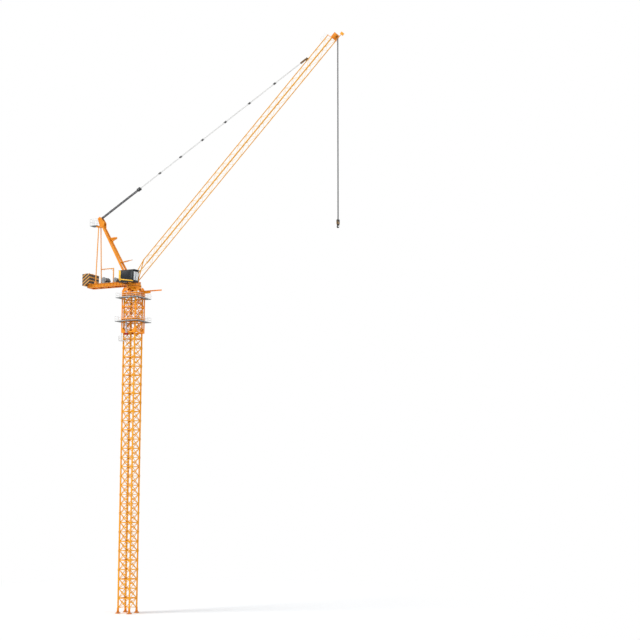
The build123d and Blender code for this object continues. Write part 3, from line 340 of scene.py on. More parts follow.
rail_paint = painted_steel("pale rail paint", (0.62, 0.63, 0.62, 1.0), (0.72, 0.73, 0.72, 1.0), dust=0.2)
dress(grating, "cage_platforms")


def rail_run(bm, start, end, height, bays):
    """Handrail: posts, a knee rail and a top rail between two points."""
    start, end = Vector(start), Vector(end)
    tall = upright * (height - rail_radius)
    for post in range(bays + 1):
        foot = start.lerp(end, post / bays)
        bar(bm, foot, foot + tall, rail_post_radius, 8)
    for share in (0.5, 1.0):
        bar(bm, start + tall * share, end + tall * share, rail_radius, 8)


bm = bmesh.new()
boards = bmesh.new()
for half, floor in (upper_floor, lower_floor):
    line = half - rail_inset
    for quarter in quarter_turns:
        start, end = Vector((line, -line, floor)), Vector((line, line, floor))
        rail_run(bm, quarter @ start, quarter @ end, rail_height, 4)
        at = Vector((half - board_thick / 2, 0, floor + board_rise))
        block(boards, quarter @ at, (board_thick, 2 * half - board_gap, board_tall), quarter)
outline = [(hanging_rear, hanging_edge + hanging_side), (hanging_rear, hanging_edge),
           (hanging_front, hanging_edge), (hanging_front, hanging_edge + hanging_side)]
for first, second in zip(outline, outline[1:]):
    rail_run(bm, (*first, hanging_floor), (*second, hanging_floor), rail_height, 2)
railing = piece(bm, "platform_handrails", rail_paint, "mast")
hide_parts("cage_railings")
piece(boards, "platform_toe_boards", rail_paint, "mast")

# Climbing cylinder: a grey hydraulic jack clamped to the cage, its chromed rod nearly drawn in.
# The red forged yoke at the rod's end lifts the cage off the mast's rungs.
cylinder_at = Vector((-0.026, -0.158, 4.535))
yoke_at = Vector((-0.026, -0.158, 4.51))
jack_rod_length, jack_rod_radius = 0.01, 0.0073
gland_rises, gland_height, gland_radius = (0.008, 0.168), 0.011, 0.0148
yoke_half, yoke_pin_reach, yoke_pin_radius = 0.026, 0.0135, 0.006
jack_grey = painted_steel("jack grey paint", (0.48, 0.43, 0.46, 1.0), (0.58, 0.53, 0.55, 1.0), dust=0.3,
                          roughness=0.36)
red_paint = painted_steel("yoke red paint", (0.30, 0.002, 0.001, 1.0), (0.38, 0.007, 0.004, 1.0), dust=0.2,
                          roughness=0.5)
chrome = bare_steel("chromed rod", (0.62, 0.63, 0.64, 1.0), (0.5, 0.51, 0.52, 1.0), 0.16, 1.0)
dress(jack_grey, "climbing_cylinder")
dress(red_paint, "climbing_yoke")


def pin(bm, middle, reach, radius, sides):
    """Round pin that lies crosswise in the crane."""
    bar(bm, middle - crosswise * reach, middle + crosswise * reach, radius, sides)


bm = bmesh.new()
bar(bm, cylinder_at - upright * jack_rod_length, cylinder_at, jack_rod_radius, 24)
piece(bm, "jack_rod", chrome, "mast")
bm = bmesh.new()
for rise in gland_rises:
    bar(bm, cylinder_at + upright * rise, cylinder_at + upright * (rise + gland_height), gland_radius, 24)
piece(bm, "jack_glands", jack_grey, "mast")
bm = bmesh.new()
for side in (-1, 1):
    pin(bm, yoke_at + Vector((side * yoke_half, 0, 0)), yoke_pin_reach, yoke_pin_radius, 20)
piece(bm, "yoke_pins", red_paint, "mast")

# Feed beam: a rolled beam under the jib on which new mast sections are brought in.
# A welded stop closes its free end, and a deeper web under it stiffens the root.
web_at, web_size = (0.235, 0, 5.2025), (0.19, 0.014, 0.031)
stop_at, stop_size = (0.537, 0, 5.226), (0.005, 0.022, 0.026)
dress(cage_paint, "feed_beam")
bm = bmesh.new()
block(bm, web_at, web_size, edge=0.001)
block(bm, stop_at, stop_size, edge=0.0008)
piece(bm, "feed_beam_stop", cage_paint, "mast")

# Slewing support and ring: a welded neck from the square mast to a round flange, with corner gussets.
# The ring on it is painted over, its fixed half cut with greased gear teeth and bolted down.
ring_level, ring_radius = 5.31, 0.125
tooth_count, tooth_size = 90, (0.0048, 0.0042, 0.012)
tooth_out, tooth_rise = 0.0014, 0.007
ring_bolt_count, ring_bolt_in, ring_bolt_drop = 24, 0.0065, 0.012
ring_bolt_head, ring_bolt_radius = 0.004, 0.0042
neck_gusset, gusset_thick = ((0.189, 5.244), (0.174, 5.282), (0.152, 5.3095), (0.118, 5.286)), 0.007
ring_steel = bare_steel("greased ring steel", (0.50, 0.20, 0.03, 1.0), (0.33, 0.12, 0.02, 1.0), 0.4, 0.2)
dress(cage_paint, "slew_support", "slew_ring_fixed", "slew_ring_turning")
bm = bmesh.new()
for tooth in range(tooth_count):
    turn = Matrix.Rotation(2 * pi * tooth / tooth_count, 4, "Z")
    block(bm, turn @ Vector((ring_radius + tooth_out, 0, ring_level + tooth_rise)), tooth_size, turn)
piece(bm, "ring_gear_teeth", ring_steel, "mast")
bm = bmesh.new()
for bolt in range(ring_bolt_count):
    turn = Matrix.Rotation(2 * pi * (bolt + 0.5) / ring_bolt_count, 4, "Z")
    at = turn @ Vector((ring_radius - ring_bolt_in, 0, ring_level - ring_bolt_drop))
    bar(bm, at, at - upright * ring_bolt_head, ring_bolt_radius, 6)
piece(bm, "ring_bolts", galvanised, "mast")
bm = bmesh.new()
for quarter in quarter_turns:
    diagonal = quarter @ Matrix.Rotation(pi / 4, 4, "Z")
    low, bend, high, inner = [diagonal @ Vector((reach, 0, level)) for reach, level in neck_gusset]
    corner_web(bm, low, bend, inner, gusset_thick)
    corner_web(bm, bend, high, inner, gusset_thick)
piece(bm, "neck_gussets", cage_paint, "mast")

# Deck of the upperworks: two rolled beams with cross members, floored with chequer plate.
# Welded stiffeners divide the beams' webs, and a box girder carries the jib over the ring.
deck_bottom, deck_top = 5.3384, 5.4004
beam_line = 0.084
stiffener_start, stiffener_pitch, stiffener_count = -0.845, 0.062, 15
stiffener_size, stiffener_out = (0.003, 0.0062, 0.05), 0.0068
girder_rear = -0.13
deck_orange, deck_sunned = (0.72, 0.225, 0.007, 1.0), (0.80, 0.30, 0.016, 1.0)
deck_paint = painted_steel("deck orange paint", deck_orange, deck_sunned, dust=0.25)
dress(deck_paint, "deck_beams", "turntable")
material, tree, shader, place = blank("chequer plate", 0.5)
lugs = add(tree, "ShaderNodeTexVoronoi", {"Vector": place, "Scale": 110.0}).outputs["Distance"]
dirt = noise(tree, place, 14.0, 5.0)
worn = clouded(tree, dirt, (0.30, 0.31, 0.31, 1.0), (0.19, 0.19, 0.185, 1.0))
under = clouded(tree, dirt, deck_orange, deck_sunned)
height = add(tree, "ShaderNodeSeparateXYZ", {0: place}).outputs["Z"]
on_top = reckon(tree, "GREATER_THAN", height, deck_top - 0.0005)
tree.links.new(mixed(tree, on_top, under, worn), shader.inputs["Base Color"])
bumped(tree, shader, lugs, 0.5, 0.0012, sunken=True)
dress(material, "deck_floor")
bm = bmesh.new()
for side in (-1, 1):
    for face in (-1, 1):
        for plate in range(stiffener_count):
            at = Vector((stiffener_start + plate * stiffener_pitch, side * beam_line + face * stiffener_out,
                         (deck_bottom + deck_top) / 2))
            if face * side > 0 or at.x < girder_rear:
                block(bm, at, stiffener_size)
piece(bm, "beam_stiffeners", deck_paint, "upperworks")

# Counterweight: three cast slabs hung over the tail of the deck, painted with warning stripes.
# Two lifting eyes are cast into the top of each slab.
stripe_pitch, stripe_slant, yellow_share = 0.0575, 0.74, 0.38
slab_x, slab_pitch, slab_top = -0.8655, 0.094, 5.5754
eye_spacing, eye_rise = 0.07, 0.006
material, tree, shader, place = blank("warning stripes", 0.5)
slope = {0: place, 1: (-stripe_slant, 0.0, 1.0)}
slant = add(tree, "ShaderNodeVectorMath", slope, operation="DOT_PRODUCT").outputs["Value"]
saw = reckon(tree, "FRACT", reckon(tree, "MULTIPLY", slant, 1 / stripe_pitch))
black_band = reckon(tree, "GREATER_THAN", saw, yellow_share)
cement = noise(tree, place, 24.0, 6.0)
yellow = clouded(tree, cement, (0.64, 0.27, 0.025, 1.0), (0.58, 0.29, 0.055, 1.0))
black = clouded(tree, cement, (0.012, 0.009, 0.006, 1.0), (0.04, 0.03, 0.02, 1.0))
tree.links.new(mixed(tree, black_band, yellow, black), shader.inputs["Base Color"])
roughen(tree, shader, place, 160.0, 0.0015, 0.3)
dress(material, "counterweights")


def turned(bm, profile, middle, axis, steps=40):
    """Solid of revolution: profile gives (distance along the axis, radius), from one end to the other."""
    turn = Vector(axis).to_track_quat("Z", "Y").to_matrix().to_4x4()
    line = [bm.verts.new((radius, 0, along)) for along, radius in profile]
    edges = [bm.edges.new(pair) for pair in zip(line, line[1:])]
    bmesh.ops.spin(bm, geom=line + edges, axis=(0, 0, 1), cent=(0, 0, 0), angle=2 * pi, steps=steps,
                   use_merge=True)
    swept, known = list(line), set(line)
    for vert in swept:
        for edge in vert.link_edges:
            other = edge.other_vert(vert)
            if other not in known:
                known.add(other)
                swept.append(other)
    bmesh.ops.transform(bm, matrix=Matrix.Translation(middle) @ turn, verts=swept)
    bmesh.ops.remove_doubles(bm, verts=swept, dist=1e-6)


def lifting_eye(bm, middle, half, inner, outer):
    """Flat ring that stands upright, with its hole crosswise."""
    section = [(-half, inner), (-half, outer), (half, outer), (half, inner), (-half, inner)]
    turned(bm, section, middle, crosswise, 20)


bm = bmesh.new()
for slab in (-1, 0, 1):
    for side in (-1, 1):
        at = (slab_x + side * eye_spacing / 2, slab * slab_pitch, slab_top + eye_rise)
        lifting_eye(bm, at, 0.003, 0.006, 0.011)
piece(bm, "counterweight_eyes", orange_paint, "upperworks")

# Winches: welded frames bolted to the deck, each with a drum of wound wire rope.
# The motors are cast, with cooling ribs and an end cover.
winches = ((-0.56, 0.186, 0.15, 0.04, 0.022), (-0.334, 0.08, 0.132, 0.03, 0.016))
axis_rise, frame_wall, flange_thick, flange_rim = 0.022, 0.007, 0.0072, 0.008
rope_pitch, rope_rises = 0.0046, ((0.0, 0.0), (0.25, 0.0016), (0.5, 0.0022), (0.75, 0.0016))
hub_cap, hub_radius = 0.0025, 0.0105
rib_count, rib_pitch, rib_gap, rib_root = 6, 0.005, 0.0025, 0.86
motor_length, cover_length, cover_share = 0.043, 0.003, 0.8
terminal_box = (0.016, 0.018, 0.01)
screw_in, screw_rise, screw_head, screw_radius = 0.009, 0.01, 0.004, 0.0045
winch_grey = painted_steel("winch grey paint", (0.27, 0.275, 0.28, 1.0), (0.36, 0.365, 0.37, 1.0), dust=0.35)
motor_grey = painted_steel("motor dark paint", (0.09, 0.09, 0.096, 1.0), (0.13, 0.13, 0.135, 1.0), dust=0.3)


def wire(name, roughness, metal, lay, wave, depth, dark, light, bands="X"):
    """Stranded wire rope, its strands shown by slanting bands."""
    material, tree, shader, place = blank(name, roughness, metal)
    laid = add(tree, "ShaderNodeMapping", {"Vector": place, "Rotation": lay}).outputs["Vector"]
    strands = add(tree, "ShaderNodeTexWave", {"Vector": laid, **wave}, bands_direction=bands).outputs["Fac"]
    tree.links.new(mixed(tree, strands, dark, light), shader.inputs["Base Color"])
    bumped(tree, shader, strands, 0.5, depth)
    return material


wire_rope = wire("wound wire rope", 0.45, 0.7, (0.6, 0.6, 0.0), {"Scale": 190.0, "Distortion": 0.6}, 0.0008,
                 (0.115, 0.115, 0.12, 1.0), (0.18, 0.18, 0.187, 1.0))
dress(winch_grey, "winch_frames")
rope_drums = bmesh.new()
drum_plates = bmesh.new()
motors = bmesh.new()
screws = bmesh.new()
for winch_x, length, width, drum, motor in winches:
    axis = Vector((winch_x, 0, deck_top + axis_rise + drum))
    half = width / 2 - frame_wall
    wound = half - flange_thick
    turns = int(2 * wound / rope_pitch)
    pitch = 2 * wound / turns
    profile = [(-wound, 0.0)]
    for turn in range(turns):
        profile += [(-wound + (turn + share) * pitch, drum + rise) for share, rise in rope_rises]
    profile += [(wound, drum), (wound, 0.0)]
    turned(rope_drums, profile, axis, crosswise, 32)
    for side in (-1, 1):
        inner, outer, rim = side * wound, side * half, drum + flange_rim
        flange = [(inner, 0.0), (inner, rim - 0.001), ((inner + outer) / 2, rim), (outer, rim - 0.001),
                  (outer, 0.0)]
        turned(drum_plates, flange, axis, crosswise, 40)
        hub = axis + crosswise * side * (half + frame_wall)
        bar(drum_plates, hub, hub + crosswise * side * hub_cap, hub_radius, 20)
    face = width / 2
    ribs = [(face, 0.0), (face, motor)]
    for rib in range(rib_count):
        start = face + frame_wall + rib * rib_pitch
        end = start + rib_gap
        ribs += [(start, motor), (start, motor * rib_root), (end, motor * rib_root), (end, motor)]
    cover = face + motor_length + cover_length
    ribs += [(face + motor_length, motor), (cover, motor * cover_share), (cover, 0.0)]
    turned(motors, ribs, axis, crosswise, 28)
    block(motors, axis + Vector((0, face + 0.02, motor)), terminal_box, edge=0.001)
    for screw_x, screw_y in corners:
        at = Vector((winch_x + screw_x * (length / 2 - screw_in), screw_y * (face - screw_in),
                     deck_top + screw_rise))
        bar(screws, at, at + upright * screw_head, screw_radius, 6)
rope_drums = piece(rope_drums, "wound_winch_drums", wire_rope, "upperworks")
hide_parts("winch_drums")
piece(drum_plates, "winch_drum_flanges", winch_grey, "upperworks")
motors = piece(motors, "ribbed_winch_motors", motor_grey, "upperworks")
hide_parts("winch_motors")
piece(screws, "winch_screws", galvanised, "upperworks")

# A-frame: two box legs lean back to the head, and two slim ties run down to the deck beams.
# Pins in doubled plates join them to the deck, so that they fold for transport.
front_foot, tie_foot = (-0.066, 0.058), (-0.706, 0.084)
front_plate, front_spread = (0.046, 0.004, 0.036), 0.0145
tie_plate, tie_spread = (0.03, 0.003, 0.04), 0.0085
foot_pin_rise = 0.022
tie_paint = painted_steel("tie orange paint", (0.78, 0.30, 0.03, 1.0), (0.85, 0.39, 0.07, 1.0), dust=0.15)
dress(orange_paint, "a_frame_front_legs")
dress(tie_paint, "a_frame_rear_ties")
bm = bmesh.new()
pins = bmesh.new()
for side in (-1, 1):
    for (foot_x, foot_y), plate, gap, eased, reach, radius in (
            (front_foot, front_plate, front_spread, 0.0012, 0.019, 0.006),
            (tie_foot, tie_plate, tie_spread, 0.001, 0.0125, 0.005)):
        for face in (-1, 1):
            block(bm, (foot_x, side * foot_y + face * gap, deck_top + plate[2] / 2), plate, edge=eased)
        pin(pins, Vector((foot_x, side * foot_y, deck_top + foot_pin_rise)), reach, radius, 16)
piece(bm, "a_frame_foot_plates", orange_paint, "upperworks")
piece(pins, "a_frame_pins", galvanised, "upperworks")

# Head of the A-frame: two cheeks on a base plate, holding the sheaves of the luffing rope.
# The sheaves are cast, grooved for the rope, and run side by side on one axle.
sheave_at = Vector((-0.69, 0, 6.5224))
fall_count, fall_pitch = 4, 0.011
falls_across = [(fall - (fall_count - 1) / 2) * fall_pitch for fall in range(fall_count)]
head_sheave, luff_sheave_width, luff_sheave_hub = 0.03, 0.0088, 0.0072
head_axle_reach, head_axle_radius = 0.03, 0.007
head_cheek, head_cap, head_nut = 0.036, 0.004, 0.003
head_cap_radius, head_nut_radius = 0.0135, 0.0085
head_rib_at, head_rib = (-0.645, 0.04, 6.396), (0.085, 0.008, 0.011)
cast_iron = bare_steel("cast sheave iron", (0.075, 0.075, 0.08, 1.0), (0.13, 0.13, 0.135, 1.0), 0.5, 0.6)
dress(orange_paint, "a_frame_head")


def sheave(bm, middle, radius, width, hub):
    """Rope sheave on a crosswise axle: a groove in the rim, a thinner web and a hub with an eased edge."""
    half = width / 2
    groove = [(-half, hub), (-half, hub * 1.6), (-half * 0.45, hub * 1.7), (-half * 0.45, radius * 0.8),
              (-half, radius * 0.86), (-half, radius * 0.98), (-half * 0.8, radius),
              (-half * 0.3, radius * 0.93)]
    profile = groove + [(-along, reach) for along, reach in reversed(groove)] + [groove[0]]
    turned(bm, profile, middle, crosswise, 40)


bm = bmesh.new()
for across in falls_across:
    sheave(bm, sheave_at + crosswise * across, head_sheave, luff_sheave_width, luff_sheave_hub)
pin(bm, sheave_at, head_axle_reach, head_axle_radius, 20)
head_wheels = piece(bm, "luffing_head_sheaves", cast_iron, "upperworks")
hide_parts("head_sheaves")
bm = bmesh.new()
for side in (-1, 1):
    outward = crosswise * side
    cap = sheave_at + outward * head_cheek
    bar(bm, cap, cap + outward * head_cap, head_cap_radius, 24)
    bar(bm, cap + outward * head_cap, cap + outward * (head_cap + head_nut), head_nut_radius, 6)
    rib_x, rib_y, rib_z = head_rib_at
    block(bm, (rib_x, side * rib_y, rib_z), head_rib, edge=0.001)
piece(bm, "head_axle_caps", orange_paint, "upperworks")

# Platform behind the head: steel grating bolted to the head's base plate.
# Welded tube rails in pale paint stand on three of its sides.
head_floor, head_rail = 6.4144, 0.116
platform_rear, platform_front, platform_half = -0.864, -0.73, 0.062
dress(grating, "head_platform")
bm = bmesh.new()
outline = [(platform_front, -platform_half), (platform_rear, -platform_half), (platform_rear, platform_half),
           (platform_front, platform_half)]
for first, second in zip(outline, outline[1:]):
    rail_run(bm, (*first, head_floor), (*second, head_floor), head_rail, 2)
head_rails = piece(bm, "head_handrails", rail_paint, "upperworks")
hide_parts("head_platform_rails")

# Backstops: a stout buffer on a gusset and a slim rod with a coil spring, both on the A-frame and painted
# with it. Each ends in a cap, a pale one on the rod, that catches the jib if it comes up too far.
buffer_root, buffer_nose, buffer_radius = Vector((-0.4941, 0, 6.1714)), Vector((-0.3591, 0, 6.1714)), 0.018
rod_root, rod_nose, rod_radius = Vector((-0.247, 0, 5.7454)), Vector((-0.032, 0, 5.7754)), 0.005
collar_backs, collar_half = (0.035, 0.06), 0.005
buffer_web = [Vector((-0.37, 0, 6.158)), Vector((-0.46, 0, 6.158)), Vector((-0.445, 0, 6.116))]
buffer_web_thick, spring_start = 0.024, 0.035
coil_count, coil_pitch, coil_inner, coil_outer = 22, 0.005, 0.0078, 0.0104
dress(orange_paint, "backstops")
bm = bmesh.new()
caps = bmesh.new()
spring = bmesh.new()
buffer_way, rod_way = (buffer_nose - buffer_root).normalized(), (rod_nose - rod_root).normalized()
for nose, way, radius, held in ((buffer_nose, buffer_way, buffer_radius, bm),
                                (rod_nose, rod_way, rod_radius, caps)):
    cap = [(-0.012, 0.0), (-0.012, radius * 1.12), (-0.003, radius * 1.12), (0.0005, radius * 0.8),
           (0.0008, 0.0)]
    turned(held, cap, nose, way, 24)
    rim = radius * 1.16
    collar = [(-collar_half, 0.0), (-collar_half, rim), (collar_half, rim), (collar_half, 0.0)]
    for back in collar_backs:
        turned(bm, collar, nose - way * back, way, 24)
corner_web(bm, *buffer_web, buffer_web_thick)
coil = [(0.0, 0.0)]
for turn in range(coil_count):
    coil += [(turn * coil_pitch, coil_inner), ((turn + 0.5) * coil_pitch, coil_outer)]
coil += [(coil_count * coil_pitch, coil_inner), (coil_count * coil_pitch, 0.0)]
turned(spring, coil, rod_root + rod_way * spring_start, rod_way, 20)
piece(spring, "backstop_spring", tie_paint, "upperworks")
piece(bm, "backstop_collars", orange_paint, "upperworks")
piece(caps, "backstop_rod_cap", rail_paint, "upperworks")

# Service frame: a post with a lifting bar over the winch, welded from box section.
# A diagonal knee, a lifting eye and a foot plate on the deck finish it.
post = Vector((-0.466, 0.085, 5.6814))
knee_low, knee_high = Vector((0, 0, -0.055)), Vector((-0.05, 0, -0.01))
frame_eye = Vector((-0.19, 0, -0.0195))
knee_radius, foot_plate = 0.003, (0.024, 0.02, 0.006)
dress(tie_paint, "service_frame")
bm = bmesh.new()
bar(bm, post + knee_low, post + knee_high, knee_radius, 8)
lifting_eye(bm, post + frame_eye, 0.002, 0.004, 0.007)
block(bm, (post.x, post.y, deck_top + foot_plate[2] / 2), foot_plate, edge=0.001)
piece(bm, "service_frame_knee", tie_paint, "upperworks")

# Cab: a welded yellow frame with dark pressed side panels, under a dark roof with a visor.
# The front is glazed above a dark apron, with a small window on each side.
# A moulded seat and a console stand inside on the floor.
cab_rear, cab_front = -0.122, 0.162
cab_near, cab_far = -0.268, -0.112
cab_floor, cab_top = 5.3564, 5.5524
sill, lintel = 5.3784, 5.5364
cab_post = 0.016
panel_rear, panel_front, pillar = -0.082, 0.106, 0.142
panel_top = cab_top - 0.001
window_low, apron_top = 5.432, 5.386
low_rear, low_fall = 5.406, 0.16
panel_thick, panel_inset, pane_thick, pane_inset = 0.0044, 0.0008, 0.0026, 0.0022
seams, seam_wide, seam_thick, seam_out, seam_short = (-0.026, 0.045), 0.0035, 0.0034, 0.0012, 0.012
infill_thick, frame_thick = 0.0042, 0.004
strip_thick, strip_tall = 0.003, 0.018
front_pillar, middle_pillar = 0.015, 0.006
grips, grip_out, grip_low, grip_high = (-0.092, 0.096), 0.006, 0.01, 0.11
grip_radius, grip_foot_radius = 0.0015, 0.0013
wiper_blade, wiper_lean, wiper_arm_radius = (0.0022, 0.003, 0.06), 0.38, 0.0011
door_handle = (0.012, 0.004, 0.004)
cushion, backrest, stand = (0.05, 0.05, 0.014), (0.013, 0.048, 0.08), (0.026, 0.026, 0.034)
seat_x, backrest_x, backrest_lean = 0.02, -0.006, 0.15
console, console_line, lever_radius = (0.06, 0.016, 0.066), 0.037, 0.0018
cab_yellow, cab_sunned = (0.84, 0.45, 0.03, 1.0), (0.90, 0.54, 0.065, 1.0)
yellow_paint = painted_steel("cab yellow paint", cab_yellow, cab_sunned, dust=0.12, roughness=0.3)
charcoal = painted_steel("cab charcoal paint", (0.010, 0.013, 0.015, 1.0), (0.019, 0.022, 0.025, 1.0),
                         dust=0.2, roughness=0.38)
roof_paint = painted_steel("cab roof paint", (0.008, 0.009, 0.009, 1.0), (0.02, 0.022, 0.022, 1.0), dust=0.2,
                           roughness=0.5)
body_paint_and_shade = painted_steel("cab body paint and painted shade", cab_yellow, cab_sunned, dust=0.12, roughness=0.3)


def paint_below(material, direction, limit, colour):
    """Second colour on all that lies below a plane, which direction and limit give."""
    tree = material.node_tree
    base = tree.nodes["Principled BSDF"].inputs["Base Color"]
    plane = {0: tree.nodes["Texture Coordinate"].outputs["Object"], 1: direction}
    height = add(tree, "ShaderNodeVectorMath", plane, operation="DOT_PRODUCT").outputs["Value"]
    below = reckon(tree, "LESS_THAN", height, limit)
    tree.links.new(mixed(tree, below, base.links[0].from_socket, colour), base)


def glass(name, glass_colour, patch_colour, smooth, dull):
    """Flat glass with a slight haze."""
    material, tree, shader, place = blank(name, smooth)
    haze = noise(tree, place, 17.0, 3.0)
    tree.links.new(clouded(tree, haze, glass_colour, patch_colour), shader.inputs["Base Color"])
    tree.links.new(spread(tree, haze, smooth, dull), shader.inputs["Roughness"])
    return material


# Near-black below a line that falls towards the front: painted shade under the cab.
paint_below(body_paint_and_shade, (low_fall, 0.0, 1.0), low_rear + low_fall * cab_rear, (0.02, 0.023, 0.026, 1.0))
dress(body_paint_and_shade, "cab_body")
dress(roof_paint, "cab_roof")
dress(deck_paint, "cab_bracket")
# Near-white and pale grey patches: painted reflection of the bright surround on the windscreen.
cab_glass_painted_reflection = glass("cab glass with painted reflection", (0.94, 0.95, 0.96, 1.0), (0.66, 0.69, 0.71, 1.0), 0.03, 0.09)
shader = cab_glass_painted_reflection.node_tree.nodes["Principled BSDF"]
shader.inputs["Transmission Weight"].default_value = 0.22
shader.inputs["IOR"].default_value = 1.3
dress(cab_glass_painted_reflection, "cab_windscreen")
tinted_glass = glass("tinted glass", (0.022, 0.027, 0.03, 1.0), (0.05, 0.056, 0.06, 1.0), 0.05, 0.14)
panels = bmesh.new()
strips = bmesh.new()
windows = bmesh.new()
frames = bmesh.new()
middle_y = (cab_near + cab_far) / 2
pressed = ((panel_rear, panel_front, sill, panel_top), (panel_front, pillar, sill, window_low),
           (panel_front, pillar, lintel, panel_top),
           (pillar, cab_front + 0.001, cab_floor + 0.02, panel_top))
strip_x, strip_length = (cab_rear + 0.004 + pillar) / 2, pillar - cab_rear - 0.004
strip_level = low_rear - low_fall * (strip_x - cab_rear) + strip_tall / 2
for wall, outward in ((cab_near, -1), (cab_far, 1)):
    skin, inside = wall - outward * panel_inset, wall - outward * pane_inset
    for rear, front, low, high in pressed:
        at = ((rear + front) / 2, skin, (low + high) / 2)
        block(panels, at, (front - rear, panel_thick, high - low), edge=0.0008)
    for seam in seams:
        block(panels, (seam, skin + outward * seam_out, (sill + lintel) / 2),
              (seam_wide, seam_thick, lintel - sill - seam_short), edge=0.0008)
    block(strips, ((cab_rear + cab_post + panel_rear) / 2, inside, (sill + lintel) / 2),
          (panel_rear - cab_rear - cab_post, infill_thick, lintel - sill))
    block(strips, (strip_x, skin + outward * 0.002, strip_level), (strip_length, strip_thick, strip_tall),
          Matrix.Rotation(low_fall, 4, "Y"), edge=0.0008)
    block(windows, ((panel_front + pillar) / 2, inside, (window_low + lintel) / 2),
          (pillar - panel_front, pane_thick, lintel - window_low))
side_panels = piece(panels, "cab_dark_panels", charcoal, "upperworks")
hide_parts("cab_side_panels")
block(strips, ((cab_rear + panel_rear) / 2, cab_near - 0.0018, cab_top + 0.004),
      (panel_rear - cab_rear, 0.003, 0.0084), edge=0.0006)
piece(strips, "cab_yellow_strips", yellow_paint, "upperworks")
piece(windows, "cab_side_windows", tinted_glass, "upperworks")
cab_width, screen_x = cab_far - cab_near, cab_front + 0.0003
block(frames, (screen_x, middle_y, (cab_floor + apron_top) / 2),
      (frame_thick, cab_width - 0.001, apron_top - cab_floor), edge=0.0012)
block(frames, (cab_front - 0.001, middle_y, lintel - 0.003), (0.006, cab_width - 2 * cab_post, 0.006),
      edge=0.001)
block(frames, (screen_x, middle_y, (lintel + cab_top) / 2),
      (frame_thick, cab_width - 0.001, cab_top - lintel + 0.002), edge=0.001)
for across, width in ((cab_near + front_pillar / 2, front_pillar), (middle_y, middle_pillar),
                      (cab_far - front_pillar / 2, front_pillar)):
    block(frames, (screen_x, across, (apron_top + panel_top) / 2), (frame_thick, width, panel_top - apron_top),
          edge=0.001)
piece(frames, "cab_window_frames", charcoal, "upperworks")
bm = bmesh.new()
wiper_x = cab_front + 0.004
bar(bm, (wiper_x, middle_y - 0.035, apron_top - 0.004), (wiper_x, middle_y - 0.014, apron_top + 0.05),
    wiper_arm_radius, 6)
block(bm, (cab_front + 0.0035, middle_y - 0.008, apron_top + 0.062), wiper_blade,
      Matrix.Rotation(-wiper_lean, 4, "X"))
block(bm, (0.034, cab_near - 0.0022, sill + 0.075), door_handle, edge=0.001)
grip_y = cab_near - grip_out
for grip in grips:
    bar(bm, (grip, grip_y, sill + grip_low), (grip, grip_y, sill + grip_high), grip_radius, 8)
    for level in (sill + grip_low, sill + grip_high):
        bar(bm, (grip, grip_y, level), (grip, cab_near + 0.001, level), grip_foot_radius, 6)
piece(bm, "cab_wiper_and_grips", black_plastic, "upperworks")
bm = bmesh.new()
block(bm, (seat_x, middle_y, cab_floor + 0.045), cushion, edge=0.005)
block(bm, (backrest_x, middle_y, cab_floor + 0.09), backrest, Matrix.Rotation(-backrest_lean, 4, "Y"), edge=0.005)
block(bm, (seat_x, middle_y, cab_floor + 0.022), stand, edge=0.002)
for across in (middle_y - console_line, middle_y + console_line):
    block(bm, (0.035, across, cab_floor + 0.04), console, edge=0.003)
    bar(bm, (0.055, across, cab_floor + 0.07), (0.058, across, cab_floor + 0.092), lever_radius, 8)
piece(bm, "cab_seat_shell_and_console", black_plastic, "upperworks")

# Foot of the jib: forged lugs on two pins in brackets welded to the turntable.
# The pins have flat retaining caps.
pivot = Vector((0.034, 0, 5.4204))
luff_angle = radians(45)
along_jib = Vector((cos(luff_angle), 0, sin(luff_angle)))
above_jib = Vector((-sin(luff_angle), 0, cos(luff_angle)))
chord_line = 0.08
cap_line, cap_thick, cap_radius = 0.0155, 0.003, 0.0075


def jib_at(along, across, up):
    """Point in the jib's own directions, measured from the foot pin."""
    return pivot + along_jib * along + crosswise * across + above_jib * up


jib_paint = painted_steel("jib orange paint", (0.74, 0.325, 0.006, 1.0), (0.81, 0.40, 0.02, 1.0), dust=0.16)
dress(orange_paint, "jib_foot_brackets")
dress(jib_paint, "jib_foot")
bm = bmesh.new()
for side in (-1, 1):
    for face in (-1, 1):
        at = pivot + crosswise * (side * chord_line + face * cap_line)
        bar(bm, at - crosswise * face * cap_thick, at, cap_radius, 20)
piece(bm, "jib_foot_pin_caps", galvanised, "upperworks")

# Jib: three tube chords with tube lacing, in lengths that are pinned together on site.
# Each joint has a pair of pins with bright heads, and a narrow walkway of planks lies along the near chord.
jib_taper, chord_end, bay_count = 0.36, 5.116, 24
bay = (chord_end - jib_taper) / bay_count
top_chord = 0.132
joint_bays = (5, 10, 15, 20)
joint_pin_reach, joint_pin_radius, joint_pin_step = 0.0107, 0.0024, 0.005
plank_line, plank_rise, plank_gap, plank_width = -0.0585, 0.005, 0.004, 0.024
jib_turn = Matrix.Rotation(-luff_angle, 4, "Y")
lacing_paint = painted_steel("lacing pale orange paint", (0.92, 0.56, 0.15, 1.0), (0.95, 0.63, 0.24, 1.0),
                             dust=0.1)
dress(jib_paint, "jib_chords")
dress(lacing_paint, "jib_lacing_near", "jib_lacing_far", "jib_lacing_bottom")
bm = bmesh.new()
for joint_bay in joint_bays:
    for across, up, shift in ((-chord_line, 0.0, 0.5), (chord_line, 0.0, 0.5), (0.0, top_chord, 0.0)):
        middle = jib_at(jib_taper + (joint_bay + shift) * bay, across, up)
        for step in (-joint_pin_step, joint_pin_step):
            pin(bm, middle + along_jib * step, joint_pin_reach, joint_pin_radius, 10)
piece(bm, "jib_joint_pins", galvanised, "jib")
bm = bmesh.new()
for plank in range(bay_count):
    at = jib_at(jib_taper + (plank + 0.5) * bay, plank_line, plank_rise)
    block(bm, at, (bay - plank_gap, plank_width, 0.004), jib_turn, edge=0.0008)
piece(bm, "jib_walkway", jib_paint, "jib")

